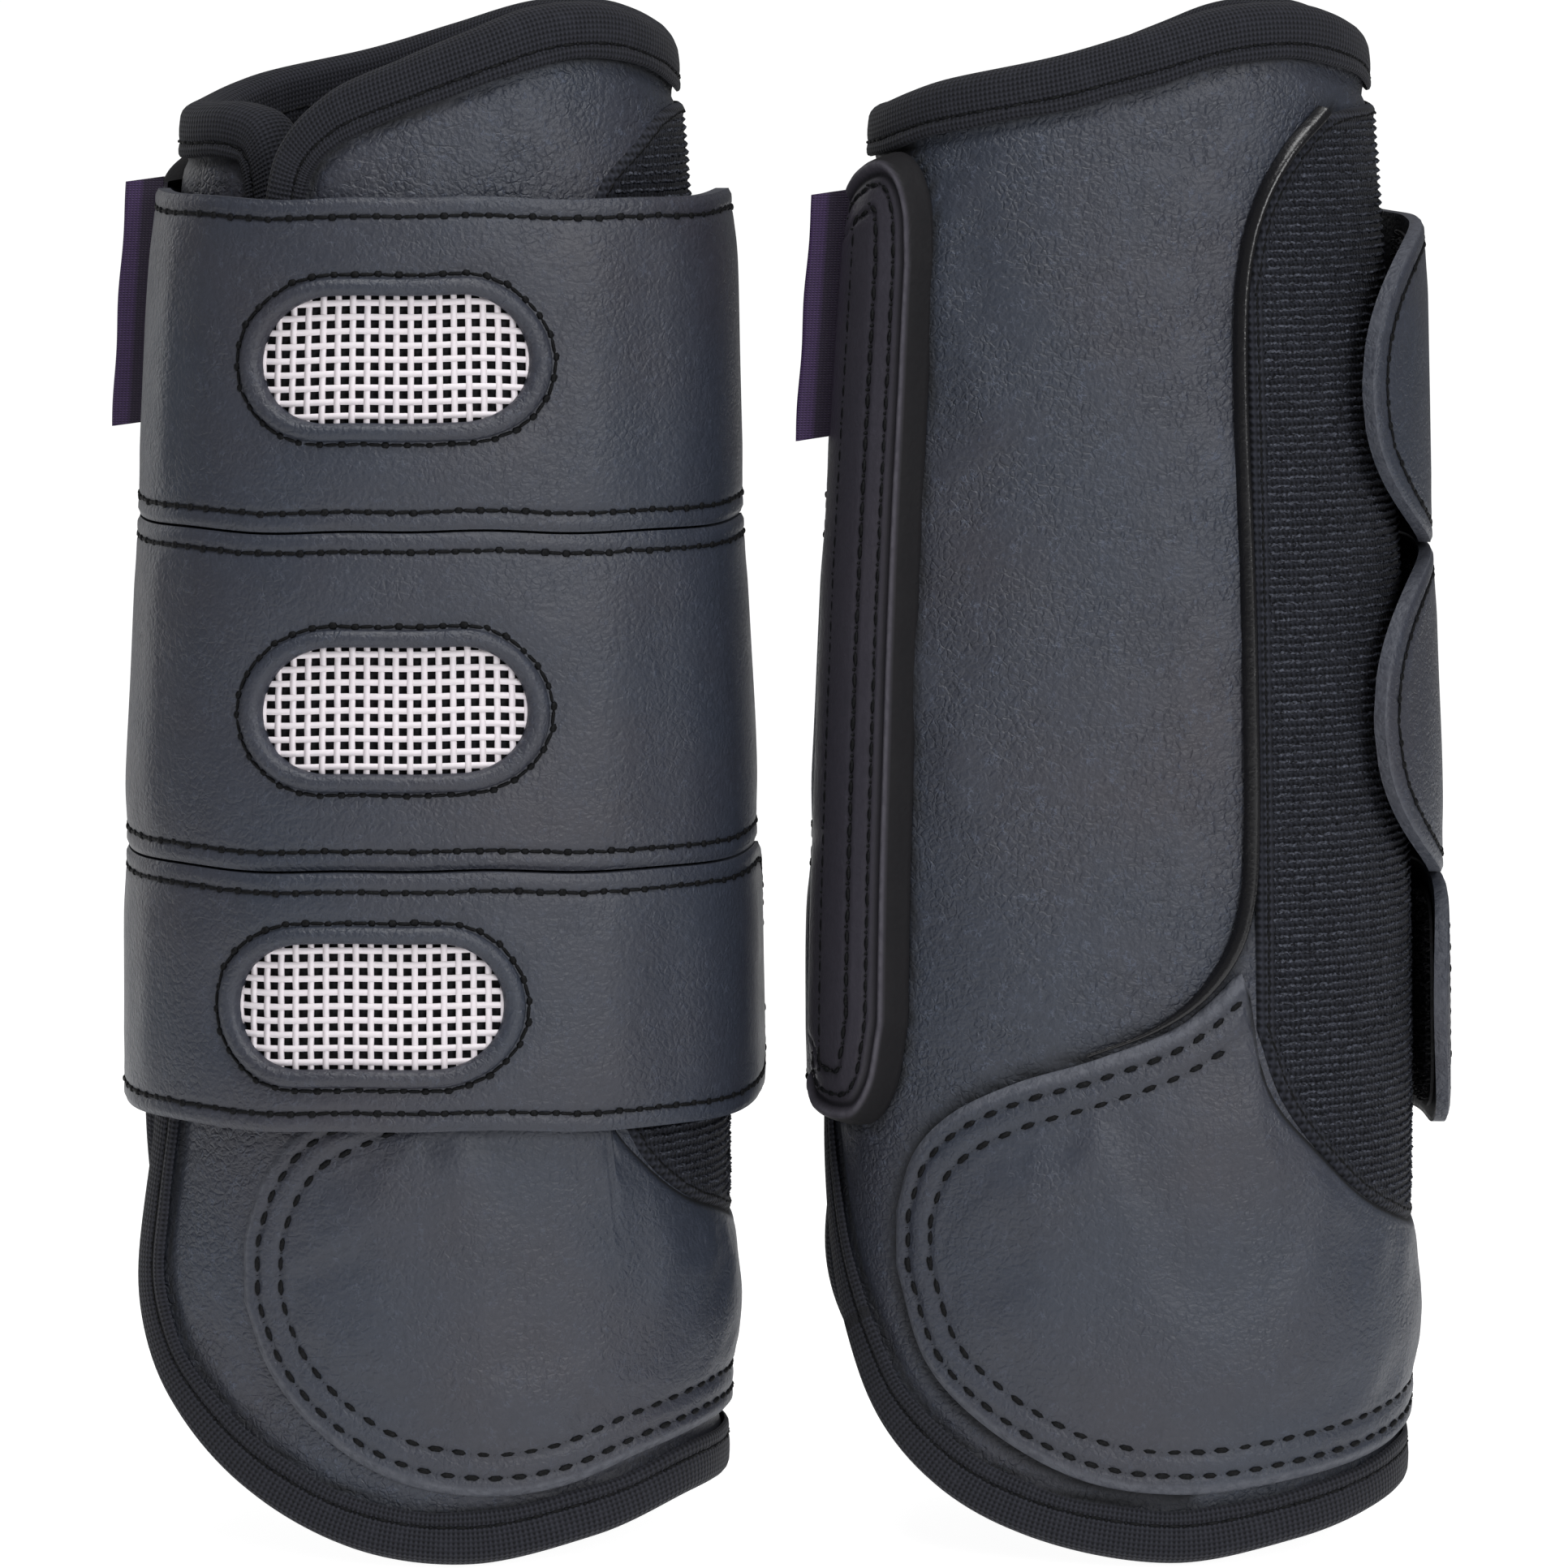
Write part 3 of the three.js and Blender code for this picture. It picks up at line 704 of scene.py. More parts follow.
def ribTree():
    # a row of beads, like one row of loops
    board, given = newTree("loop ribs", {"Step": 0.0007, "Thick": 0.0008, "Stray": 0.00016})
    points = spacedLine(board, given["Lines"], given["Step"])
    index = board.add("GeometryNodeInputIndex")
    odd = index.maths("MODULO", index, 2.0)
    size = (0.62 + 0.5 * odd) * randomNumber(board, 0.8, 1.15, 11)
    stray = randomNumber(board, (-1, -1, -1), (1, 1, 1), 13)
    offset = scaledVector(board, stray, given["Stray"])
    moved = board.add("GeometryNodeSetPosition", {}, {"Geometry": points, "Offset": offset})
    sized = board.add("GeometryNodeSetCurveRadius", {}, {"Curve": moved, "Radius": size})
    section = roundSection(board, 4, given["Thick"])
    return closeTree(board, tubeOf(board, sized, section, Scale=size), given["Material"])


def strandTree():
    # flat strands that pass over and under each other
    board, given = newTree("woven strands", {
        "Step": 0.00055, "Wide": 0.0012, "Thick": 0.0004, "Weave": 0.00007})
    points = spacedLine(board, given["Lines"], given["Step"])
    swing = (lineValue(board, "phase", "FLOAT") * math.pi).wave() * given["Weave"]
    offset = scaledVector(board, upright(board), swing)
    moved = board.add("GeometryNodeSetPosition", {}, {"Geometry": points, "Offset": offset})
    facing = board.add("GeometryNodeSetCurveNormal", {"mode": "FREE"}, {
        "Curve": moved, "Normal": upright(board)})
    section = board.add("GeometryNodeCurvePrimitiveQuadrilateral", {}, {
        "Width": given["Thick"], "Height": given["Wide"]})
    return closeTree(board, tubeOf(board, facing, section), given["Material"])


def hookTree():
    # short bent bristles
    board, given = newTree("bristles", {"Tall": 0.0011, "Thick": 0.0003, "Lean": 0.5})
    tall = given["Tall"]
    stalk = board.add("GeometryNodeCurvePrimitiveBezierSegment", {"mode": "POSITION"}, {
        "Resolution": 4, "Start": (0, 0, 0), "Start Handle": combine(board, 0.0, 0.0, tall),
        "End Handle": combine(board, tall * 0.5, 0.0, tall * 1.25),
        "End": combine(board, tall * 0.7, 0.0, tall * 0.6)})
    section = roundSection(board, 3, given["Thick"])
    bristle = tubeOf(board, stalk, section)
    points = board.add("GeometryNodeMeshToPoints", {}, {"Mesh": given["Lines"]})
    first = board.add("FunctionNodeAlignRotationToVector", {"axis": "Z"}, {"Vector": upright(board)})
    lean = [randomNumber(board, -0.5, 0.5, seed) * given["Lean"] * 2.0 for seed in (17, 19)]
    turned = turnedBy(board, first, *lean, randomNumber(board, 0.0, 6.28, 23))
    laid = placedOn(board, points, bristle, turned, randomNumber(board, 0.75, 1.2, 29))
    return closeTree(board, laid, given["Material"])


trees = {"stitch": stitchTree(), "rib": ribTree(), "strand": strandTree(), "hook": hookTree()}


def lineMesh(lines):
    # lines are (points, ups, closed, phases); points without edges are lines of one point
    points, ups, edges, phases = [], [], [], []
    count = 0
    for line, up, closed, phase in lines:
        n = len(line)
        points.append(line)
        ups.append(up)
        phases.append(np.zeros(n) if phase is None else phase)
        edges += [(count + i, count + i + 1) for i in range(n - 1)]
        if closed:
            edges.append((count + n - 1, count))
        count += n
    mesh = bpy.data.meshes.new("lines")
    mesh.from_pydata(np.concatenate(points).tolist(), edges, [])
    store(mesh, "up", np.concatenate(ups))
    store(mesh, "phase", np.concatenate(phases))
    return mesh


def grow(name, tree, mesh, values):
    # runs a tree on a mesh of lines and keeps the plain result
    source = bpy.data.objects.new("source", mesh)
    scene.collection.objects.link(source)
    modifier = source.modifiers.new("grow", "NODES")
    modifier.node_group = tree
    for item in tree.interface.items_tree:
        if item.name in values:
            modifier[item.identifier] = values[item.name]
    result = source.evaluated_get(bpy.context.evaluated_depsgraph_get())
    grown = bpy.data.meshes.new_from_object(result)
    bpy.data.objects.remove(source)
    for key in [a.name for a in grown.attributes if a.name in ("up", "phase")]:
        grown.attributes.remove(grown.attributes[key])
    piece = bpy.data.objects.new(name, grown)
    scene.collection.objects.link(piece)
    return piece


def laidLine(place, angle, z, lift=0.0, closed=False, phase=None):
    # a line on a surface with its upward directions; place(angle, z, offset) gives the surface
    low, high = place(angle, z, lift), place(angle, z, lift + 1)
    up = (high - low) / mm
    return low, up, closed, phase


sewing = {
    "strap": {"Pitch": 3.6, "Length": 3.0, "Thick": 0.66, "Hole": 1.6},
    "tape": {"Pitch": 3.2, "Length": 2.5, "Thick": 0.6, "Hole": 0.8},
    "guard": {"Pitch": 3.9, "Length": 2.6, "Thick": 1.05, "Hole": 0.1},
    "loop": {"Pitch": 3.0, "Length": 2.3, "Thick": 0.5, "Hole": 0.7},
    "anchor": {"Pitch": 3.5, "Length": 2.5, "Thick": 0.9, "Hole": 0.6},
}


def stitches(name, lines, kind):
    size = {key: value * mm for key, value in sewing[kind].items()}
    return grow(name, trees["stitch"], lineMesh(lines), {**size, "Material": finish["thread"]})


# ---- padding: a short cloth simulation in which air pushes a sheet out between its seams
cloth = {
    "steps": 16, "pressure": 6.0, "mass": 0.15, "stiff": 14.0, "bend": 0.6, "spare": 0.02, "smooth": 3,
}


def swell(name, skin, upward, held, most):
    # skin and upward are grids; the result is each point's rise in millimetres
    columns, rows = skin.shape[:2]
    ids = np.arange(columns * rows).reshape(columns, rows)
    faces = quads(ids)
    across, along = skin[1, 0] - skin[0, 0], skin[0, 1] - skin[0, 0]
    if np.dot(np.cross(across, along), upward[0, 0]) < 0:
        faces = faces[..., ::-1]
    mesh = bpy.data.meshes.new(name)
    mesh.from_pydata(skin.reshape(-1, 3).tolist(), [], faces.reshape(-1, 4).tolist())
    sheet = bpy.data.objects.new(name, mesh)
    scene.collection.objects.link(sheet)
    sheet.vertex_groups.new(name="held").add(np.flatnonzero(held.reshape(-1)).tolist(), 1.0, "REPLACE")
    modifier = sheet.modifiers.new("cloth", "CLOTH")
    settings = modifier.settings
    settings.mass = cloth["mass"]
    settings.tension_stiffness = settings.compression_stiffness = cloth["stiff"]
    settings.bending_stiffness = cloth["bend"]
    settings.shrink_min = -cloth["spare"]
    settings.use_pressure = True
    settings.uniform_pressure_force = cloth["pressure"]
    settings.vertex_group_mass = "held"
    settings.effector_weights.gravity = 0
    modifier.point_cache.frame_start = 1
    modifier.point_cache.frame_end = cloth["steps"]
    for frameNumber in range(1, cloth["steps"] + 1):
        scene.frame_set(frameNumber)
    result = sheet.evaluated_get(bpy.context.evaluated_depsgraph_get()).data
    moved = np.empty(columns * rows * 3, np.float32)
    result.vertices.foreach_get("co", moved)
    scene.frame_set(1)
    bpy.data.objects.remove(sheet)
    shift = moved.reshape(skin.shape) - skin
    rise = np.einsum("ijk,ijk->ij", shift, upward) / np.einsum("ijk,ijk->ij", upward, upward)
    print(name, "swelled by", round(float(rise.max()), 2), "mm at most")
    rise = np.clip(rise, -0.1, most)
    for _ in range(cloth["smooth"]):
        spread = np.pad(rise, 1, mode="edge")
        around = spread[2:, 1:-1] + spread[:-2, 1:-1] + spread[1:-1, 2:] + spread[1:-1, :-2]
        rise = 0.5 * rise + 0.125 * around
    return rise


# ---- the boot's edge on the flat pattern, anticlockwise, as [angle, height]
edgeBottom = [
    [-158, 34], [-147, 21.5], [-130, 10.5], [-109, 3.7], [-78, 0.2], [-50, 3.2], [-24, 6.8],
    [0, 8], [28, 8.4], [52, 3.8], [80, 0], [107, 2.4], [131, 11], [147, 21.5],
]
edgeOuterFront = [
    [156, 31], [161.5, 43], [162, 57], [159, 75], [152.5, 109], [145, 148], [138.4, 184], [132.5, 214],
]
edgeTop = [
    [128.5, 230.5], [117, 239], [95, 245], [76, 249.3], [58, 253], [40, 253.6], [20, 250.6],
    [0, 247.6], [-20, 250.6], [-40, 253.4], [-60, 253.2], [-85, 249.3], [-110, 245.2],
    [-140, 241.4], [-165, 237.6], [-188, 237], [-204, 237.2], [-214.5, 235],
]
edgeInnerFront = [
    [-221, 228.5], [-224.5, 217], [-225.5, 192], [-219, 166], [-208, 140], [-196, 110], [-187, 89],
    [-179.5, 71], [-173, 57], [-165.5, 44],
]
edgeSides = [edgeBottom, edgeOuterFront, edgeTop, edgeInnerFront]
edgeSpan = 20
edgeLoop = smoothLine(toFlat(sum(edgeSides, [])), closed=True, perSpan=edgeSpan)
edgeClosed = np.concatenate([edgeLoop, edgeLoop[:1]])
edgeNormals = inwards(edgeLoop, closed=True)


def sampled(line, t):
    run = lengths(line)
    return np.stack([np.interp(t * run[-1], run, line[:, k]) for k in range(2)], -1)


def wallGrid(inset, columns, rows):
    # fills the edge with a smooth grid, finer near the edge
    loop = edgeLoop + edgeNormals * inset
    loop = np.concatenate([loop, loop[:1]])
    starts = np.cumsum([0] + [len(side) for side in edgeSides]) * edgeSpan
    sides = [loop[a: b + 1] for a, b in zip(starts[:-1], starts[1:])]
    u, v = crowded(columns, 0.45), crowded(rows, 0.45)
    bottom, top = sampled(sides[0], u)[:, None], sampled(sides[2], 1 - u)[:, None]
    right, left = sampled(sides[1], v)[None], sampled(sides[3], 1 - v)[None]
    u, v = u[:, None, None], v[None, :, None]
    low, high = lerp(bottom[:1], bottom[-1:], u), lerp(top[:1], top[-1:], u)
    grid = lerp(bottom, top, v) + lerp(left, right, u) - lerp(low, high, v)
    return grid[..., 0] / leg["perDegree"], grid[..., 1]


# the seam that runs round the inner side of the guard and up beside the loop field
guardSeam = smoothLine(toFlat([
    [-34, 236], [-46, 229.5], [-54, 221.5], [-59.8, 210], [-60.8, 190], [-60.8, 137], [-62, 110],
    [-64.5, 103], [-69, 95.5], [-79, 89.3], [-97, 84], [-115, 79.6], [-129, 73.8], [-137, 67],
    [-141.4, 57], [-141.4, 48], [-134.5, 33], [-121.5, 22.6], [-100, 14.1], [-76, 11.6],
]))

shell = {
    "columns": 150, "rows": 112, "inset": 2.6, "thickness": 1.3, "seamAt": 9.7, "seamDip": 0.75,
    "guardDip": 0.75, "puff": 0.62, "wave": 0.3, "panelShade": 0.85, "most": 1.3, "underStraps": 0.35,
    "panelFrom": -141, "loopsFrom": -63, "loopsTo": 50,
}


def outerShell(boot):
    angle, z = wallGrid(shell["inset"], shell["columns"], shell["rows"])
    flat = pattern(angle, z)
    edge, guard = distanceTo(flat, edgeClosed), distanceTo(flat, guardSeam)
    offset = shell["puff"] * ease(np.minimum(edge - shell["seamAt"], guard), 0, 15)
    offset += shell["wave"] * ripple(angle, z, boot["seed"]) * ease(edge, 10, 24)
    offset -= shell["seamDip"] * dip(edge, shell["seamAt"], 1.3) + shell["guardDip"] * dip(guard, 0, 1.7)
    skin = onShell(boot, angle, z, offset)
    under = heightAt(padTop)(angle) + 1 > z
    covered = under | (angle < shell["panelFrom"]) | (
        (angle > shell["loopsFrom"]) & (angle < shell["loopsTo"]))
    held = (edge < shell["seamAt"] + 1) | (guard < 1.8) | covered
    upward = onShell(boot, angle, z, offset + 1) - skin
    rise = swell(boot["name"] + " shell", skin, upward, held, shell["most"])
    offset += rise * np.where(angle > 0, shell["underStraps"], 1)
    points, faces = layer(partial(onShell, boot), angle, z, offset, -shell["thickness"])
    # painted shade: the shell is darkened in the seam groove inside the tape, along the guard's seam and
    # beside the anchor panel's border
    paintedShade = 0.9 * dip(edge, shell["seamAt"] - 0.6, 0.7) + 0.9 * dip(guard, 0, 1.6)
    paintedShade += shell["panelShade"] * (1 - ease(distanceTo(flat, panelEdge()), 0.2, 1.5))
    return makePiece(boot["name"] + "_shell_leather", points, faces, finish["leather"],
                     both(flat * mm), {"paintedShade": both(paintedShade)})


lining = {
    "columns": 110, "rows": 80, "outer": -3.8, "inner": -5.0, "puff": 0.5, "wave": 0.3, "draw": 0.35,
}


def liningSheet(boot):
    # the inner face, drawn in a little along the seams under it
    angle, z = wallGrid(shell["inset"], lining["columns"], lining["rows"])
    flat = pattern(angle, z)
    edge = distanceTo(flat, edgeClosed)
    soft = (lining["puff"] + lining["wave"] * ripple(angle, z, boot["seed"] + 2)) * ease(edge, 9, 24)
    inner = lining["inner"] - soft + lining["draw"] * dip(edge, 9.5, 1.5)
    points, faces = layer(partial(onShell, boot), angle, z, lining["outer"], inner)
    piece = makePiece(boot["name"] + "_lining_knit", points, faces, finish["lining"], both(flat * mm))
    cut = flat * mm
    a, b = cut[1:, 1:] - cut[:-1, :-1], cut[:-1, 1:] - cut[1:, :-1]
    area = float(np.abs(a[..., 0] * b[..., 1] - a[..., 1] * b[..., 0]).sum() / 2)
    size = cut.reshape(-1, 2).max(0) - cut.reshape(-1, 2).min(0)
    return piece, tuple(float(v) for v in size), area


# the tape's section from its inner edge, over the fold and back inside, as [inset, offset]
tape = {"width": 9.0, "low": -6.2, "fold": 2.7, "stations": 520, "stitchAt": 6.7, "wave": 0.14}


def tapeSection():
    w, low, fold = tape["width"], tape["low"], tape["fold"]
    face = [[w + 0.05, 0.35], [w - 0.1, 0.8], [w - 0.5, 1.02], [w - 1.2, 1.1], [7.1, 1.02], [6.7, 0.78],
            [6.3, 1.04], [5.6, 1.16], [4.6, 1.22], [3.6, 1.2]]
    turn = np.radians(np.linspace(84, -84, 11))
    middle, half = (1.15 + low) / 2, (1.15 - low) / 2
    nose = np.stack([fold - fold * np.cos(turn), middle + half * np.sin(turn)], -1).tolist()
    back = [[4.2, low], [6.7, low + 0.15], [w - 0.6, low], [w, low + 0.3], [w, low + 0.5],
            [1.6, low + 0.5], [1.6, 0.62], [w - 0.2, 0.3]]
    return np.array(face + nose + back)


def edgeTape(boot):
    section = tapeSection()
    run = lengths(np.concatenate([section, section[:1]]))[:-1]
    line = evenly(edgeClosed, tape["stations"] + 1)[:-1]
    normal = inwards(line, closed=True)
    travel = lengths(np.concatenate([line, line[:1]]))[:-1]
    sway = tape["wave"] * (np.sin(travel / 3.1) + np.sin(travel / 7.7 + boot["seed"]))
    inset = section[None, :, 0] + sway[:, None] * ease(section[None, :, 0], 5, 9)
    flat = line[:, None] + normal[:, None] * inset[..., None]
    offset = np.broadcast_to(section[None, :, 1], inset.shape)
    sections = onShell(boot, *fromFlat(flat), offset)
    points, faces = band(sections)
    uv = np.stack(np.broadcast_arrays(travel[:, None], run[None]), -1).reshape(-1, 2) * mm
    piece = makePiece(boot["name"] + "_edge_tape", points, faces, finish["binding"], uv)
    rows = []
    for inset, offset, side in ((tape["stitchAt"], 0.86, 1), (tape["stitchAt"], tape["low"] + 0.05, -1)):
        flat = line + normal * inset
        low, up, closed, phase = laidLine(partial(onShell, boot), *fromFlat(flat), offset, True)
        rows.append((low, up * side, closed, phase))
    return piece, stitches(boot["name"] + "_tape_stitches", rows, "tape")


# ---- what is sewn on the shell

padBottom = [
    [-141, 48], [-134, 33], [-121, 23], [-100, 14.5], [-76, 12], [-50, 14], [-20, 17.5], [0, 19.5],
    [22, 20], [42, 17.5], [60, 13], [77, 11.7], [98, 14.6], [114, 22], [125, 32], [130.5, 43],
]
padTop = [
    [-141, 57], [-137, 66.5], [-129, 73.5], [-115, 79.3], [-97, 83.5], [-78, 89], [-68, 95],
    [-64.6, 97.4], [-62.4, 93.5], [-60.6, 83], [-57, 76], [-48, 68], [-35, 59], [-15, 53.2],
    [0, 52.4], [17, 55.4], [31, 59], [42, 65.5], [50, 74], [52, 100], [62, 92], [80, 84.5],
    [105, 77], [119, 71], [127, 62], [130.5, 53],
]
loopBottom = [
    [-61, 88], [-56, 77], [-47.6, 67.8], [-34.4, 58.8], [-15, 53], [0, 52.2], [17, 55.2], [30.4, 58.8],
    [41.6, 65.4], [48.5, 74],
]
loopTop = [
    [-61, 208], [-56.3, 220.6], [-48, 229.2], [-37.4, 235], [-18, 236.7], [0, 236.8], [14, 236.8],
    [25, 235], [35, 230.6], [44, 225.4], [48.5, 220],
]
panelBottom = [
    [-171, 79], [-169.6, 74.6], [-165.5, 71.4], [-159, 70.2], [-152, 70.2], [-146, 71.6], [-141, 77],
    [-138, 88],
]
panelTop = [
    [-171, 223.4], [-162, 227], [-153, 229.2], [-148, 229], [-143, 226.4], [-139.5, 221], [-138, 212],
]
pipingPath = [
    [-98, 82.2], [-84, 86], [-74, 90.6], [-67.4, 96], [-63, 102], [-60.4, 110], [-59.5, 122],
    [-59.5, 150], [-59.5, 208], [-55, 220], [-47, 228.5], [-37, 234.4],
]


def patchGrid(bottomPoints, topPoints, columns, rows):
    # a grid between two height curves, finer near its border, and its outline on the flat pattern
    bottom, top = heightAt(bottomPoints), heightAt(topPoints)
    u, v = crowded(columns, 0.75), crowded(rows, 0.75)
    span = bottomPoints[0][0], bottomPoints[-1][0]
    angle = np.repeat(lerp(*span, u)[:, None], rows + 1, 1)
    z = lerp(bottom(angle), top(angle), v[None])
    along = np.linspace(*span, 400)
    outline = toFlat(np.concatenate([
        np.stack([along, bottom(along)], -1), np.stack([along, top(along)], -1)[::-1]]))
    return angle, z, np.concatenate([outline, outline[:1]])


def insetOutline(outline, inset, count=900):
    line = evenly(outline, count + 1)[:-1]
    moved = line + inwards(line, closed=True) * inset
    clear = distanceTo(moved, outline) > inset - 0.12
    return moved[clear]


pad = {
    "columns": 190, "rows": 60, "low": 0.3, "base": 0.4, "lift": 1.35, "crown": 0.62, "wave": 0.16,
    "seams": (3.2, 7.2), "seamDip": 0.42, "coveredFrom": -63, "coveredTo": 51.5, "coveredAbove": 45,
    "most": 0.9,
}


def freeBorder(outline):
    # the guard's border without the stretch that the loop field lies on
    angle, z = fromFlat(outline)
    covered = (angle > pad["coveredFrom"]) & (angle < pad["coveredTo"]) & (z > pad["coveredAbove"])
    first = np.argmax(covered)
    last = len(covered) - np.argmax(covered[::-1])
    return np.concatenate([outline[last:], outline[1:first]])


def strikePad(boot):
    angle, z, outline = patchGrid(padBottom, padTop, pad["columns"], pad["rows"])
    flat = pattern(angle, z)
    d, free = distanceTo(flat, outline), distanceTo(flat, freeBorder(outline))
    offset = pad["base"] + pad["lift"] * ease(d, -0.5, 1.7)
    offset += pad["crown"] * ease(free, 7.4, 19) * ease(d, 0, 6)
    groove = sum(dip(free, inset, 0.6) for inset in pad["seams"])
    offset -= pad["seamDip"] * groove - 0.16 * dip(free, sum(pad["seams"]) / 2, 1.1)
    offset += pad["wave"] * ripple(angle, z, boot["seed"] + 5) * ease(d, 8, 20)
    skin = onShell(boot, angle, z, offset)
    held = (d < 2.6) | (groove > 0.6)
    upward = onShell(boot, angle, z, offset + 1) - skin
    offset += swell(boot["name"] + " guard", skin, upward, held, pad["most"])
    points, faces = layer(partial(onShell, boot), angle, z, offset, pad["low"])
    # painted shade: the guard is darkened a little in its stitch grooves, and to a dark line along the
    # border where the loop field lies on it
    paintedShade = 0.12 * groove + (1 - ease(d, 0.3, 1.2)) * ease(free, 1.5, 3.5)
    values = {"edge": both(1 - ease(free, 1.2, 2.0)), "paintedShade": both(paintedShade)}
    piece = makePiece(boot["name"] + "_guard_leather", points, faces, finish["strap"],
                      both(flat * mm), values, crease=60)
    rows = []
    for inset in pad["seams"]:
        line = insetOutline(outline, inset)
        line = line[distanceTo(line, freeBorder(outline)) < inset + 0.2]
        rows += brokenRows(boot, line, 1.5, 9)
    return piece, stitches(boot["name"] + "_guard_stitches", rows, "guard")


def brokenRows(boot, line, lift, gap):
    # splits a line where it jumps, and lays each run of it on the shell
    jumps = np.where(np.linalg.norm(np.diff(line, axis=0), axis=1) > gap)[0] + 1
    runs = [run for run in np.split(line, jumps) if len(run) > 8]
    return [laidLine(partial(onShell, boot), *fromFlat(run), lift) for run in runs]


loops = {
    "low": 0.4, "high": 1.0, "ribLift": 1.08, "rib": 1.35, "step": 0.68, "thick": 0.74, "border": 2.4,
}


def loopField(boot):
    angle, z, outline = patchGrid(loopBottom, loopTop, 60, 110)
    flat = pattern(angle, z)
    d = distanceTo(flat, outline)
    offset = lerp(loops["low"] + 0.15, loops["high"], ease(d, 0, 0.6)) + 0.4 * dip(d, 1.1, 0.9)
    place = partial(onShell, boot)
    points, faces = layer(place, angle, z, offset, loops["low"] - 0.1)
    base = makePiece(boot["name"] + "_loop_backing", points, faces, finish["selvedge"],
                     both(flat[..., ::-1] * mm))
    across = np.linspace(loopBottom[0][0], loopBottom[-1][0], 220)
    bottom, top = heightAt(loopBottom)(across), heightAt(loopTop)(across)
    rows = []
    for height in np.arange(bottom.min() + loops["border"], top.max() - loops["border"], loops["rib"]):
        inside = (bottom < height) & (top > height)
        line = np.stack([across, np.full_like(across, height)], -1)
        inside &= distanceTo(toFlat(line), outline) > loops["border"]
        if inside.sum() > 4:
            rows.append(laidLine(place, across[inside], line[inside, 1], loops["ribLift"]))
    ribs = grow(boot["name"] + "_loop_ribs", trees["rib"], lineMesh(rows), {
        "Step": loops["step"] * mm, "Thick": loops["thick"] * mm, "Material": finish["loops"],
    })
    border = brokenRows(boot, insetOutline(outline, 1.5), 1.3, 9)
    return base, ribs, stitches(boot["name"] + "_loop_stitches", border, "loop")


# it starts as a fine line over the guard; the pairs are its start and its full size
piping = {"away": 2.0, "half": (0.3, 1.2), "base": 0.5, "tall": (0.25, 1.75), "under": 0.4,
          "growFrom": 4, "growTo": 34}


def seamPiping(boot):
    path = evenly(smoothLine(toFlat(pipingPath), perSpan=20), 150)
    normal = inwards(path)
    across = np.linspace(-1, 1, 9)[None]
    full = ease(lengths(path), piping["growFrom"], piping["growTo"])[:, None]
    away = piping["away"] + lerp(*piping["half"], full) * across
    flat = path[:, None] + normal[:, None] * away[..., None]
    offset = piping["base"] + lerp(*piping["tall"], full) * np.sqrt(1 - across ** 2)
    points, faces = layer(partial(onShell, boot), *fromFlat(flat), offset, piping["under"])
    return makePiece(boot["name"] + "_seam_piping", points, faces, finish["piping"],
                     both(flat * mm), crease=70)


panel = {"columns": 72, "rows": 170, "under": 3.05, "rise": 3.75, "bead": 0.5, "gutter": 0.6,
         "seams": ((5.2, 4.1), (9.1, 4.55)), "frontFrom": 1.2}


def panelEdge():
    # the panel's border, but for its front end
    outline = patchGrid(panelBottom, panelTop, 40, 10)[2]
    return outline[outline[:, 0] > outline[:, 0].min() + panel["frontFrom"]]


def anchorPanel(boot):
    angle, z, outline = patchGrid(panelBottom, panelTop, panel["columns"], panel["rows"])
    flat = pattern(angle, z)
    d = distanceTo(flat, panelEdge())
    front = flat[..., 0] - flat[..., 0].min()
    fold = ease(front, 0.0, 3.2)
    offset = 0.55 + panel["rise"] * ease(d, -0.5, 1.3) + panel["bead"] * dip(d, 1.9, 0.75) * fold
    offset += 0.4 * ease(d, 5.5, 11) - panel["gutter"] * dip(d, 3.5, 0.7) * fold
    groove = sum(dip(d, inset, 0.45) for inset, _ in panel["seams"])
    offset -= 0.26 * groove + 0.75 * (1 - fold)
    offset += 0.1 * ripple(angle, z, boot["seed"] + 7)
    inner = np.maximum(np.minimum(panel["under"], offset - 0.5), 0.3)
    place = partial(onLeg, boot)
    points, faces = layer(place, angle, z, offset, inner)
    # painted light on the panel: a painted highlight along the crest of its border bead, and painted shade
    # on its outer wall, in its gutter and in its stitch grooves
    values = {
        "edge": both(0.7 * dip(d, 1.95, 0.45)),
        "paintedShade": both(0.95 * (1 - ease(d, 1.1, 1.6)) + 0.75 * dip(d, 3.5, 0.6) * fold
                     + 0.3 * groove),
    }
    piece = makePiece(boot["name"] + "_anchor_leather", points, faces, finish["panel"],
                      both(flat * mm), values, crease=60)
    rows = []
    for inset, lift in panel["seams"]:
        line = insetOutline(outline, inset)
        line = line[line[:, 0] > outline[:, 0].min() + panel["frontFrom"]]
        start = np.argmax(np.linalg.norm(np.diff(line, axis=0), axis=1)) + 1
        line = np.roll(line, -start, 0) if start > 1 else line
        rows.append(laidLine(place, *fromFlat(line), lift))
    return piece, stitches(boot["name"] + "_anchor_stitches", rows, "anchor")


label = {
    "angle": -174.5, "low": 184.0, "high": 224.5, "root": 3.3, "tip": 9.6, "thick": 0.8, "slope": 0.9,
    "foldFrom": 0.9,
}


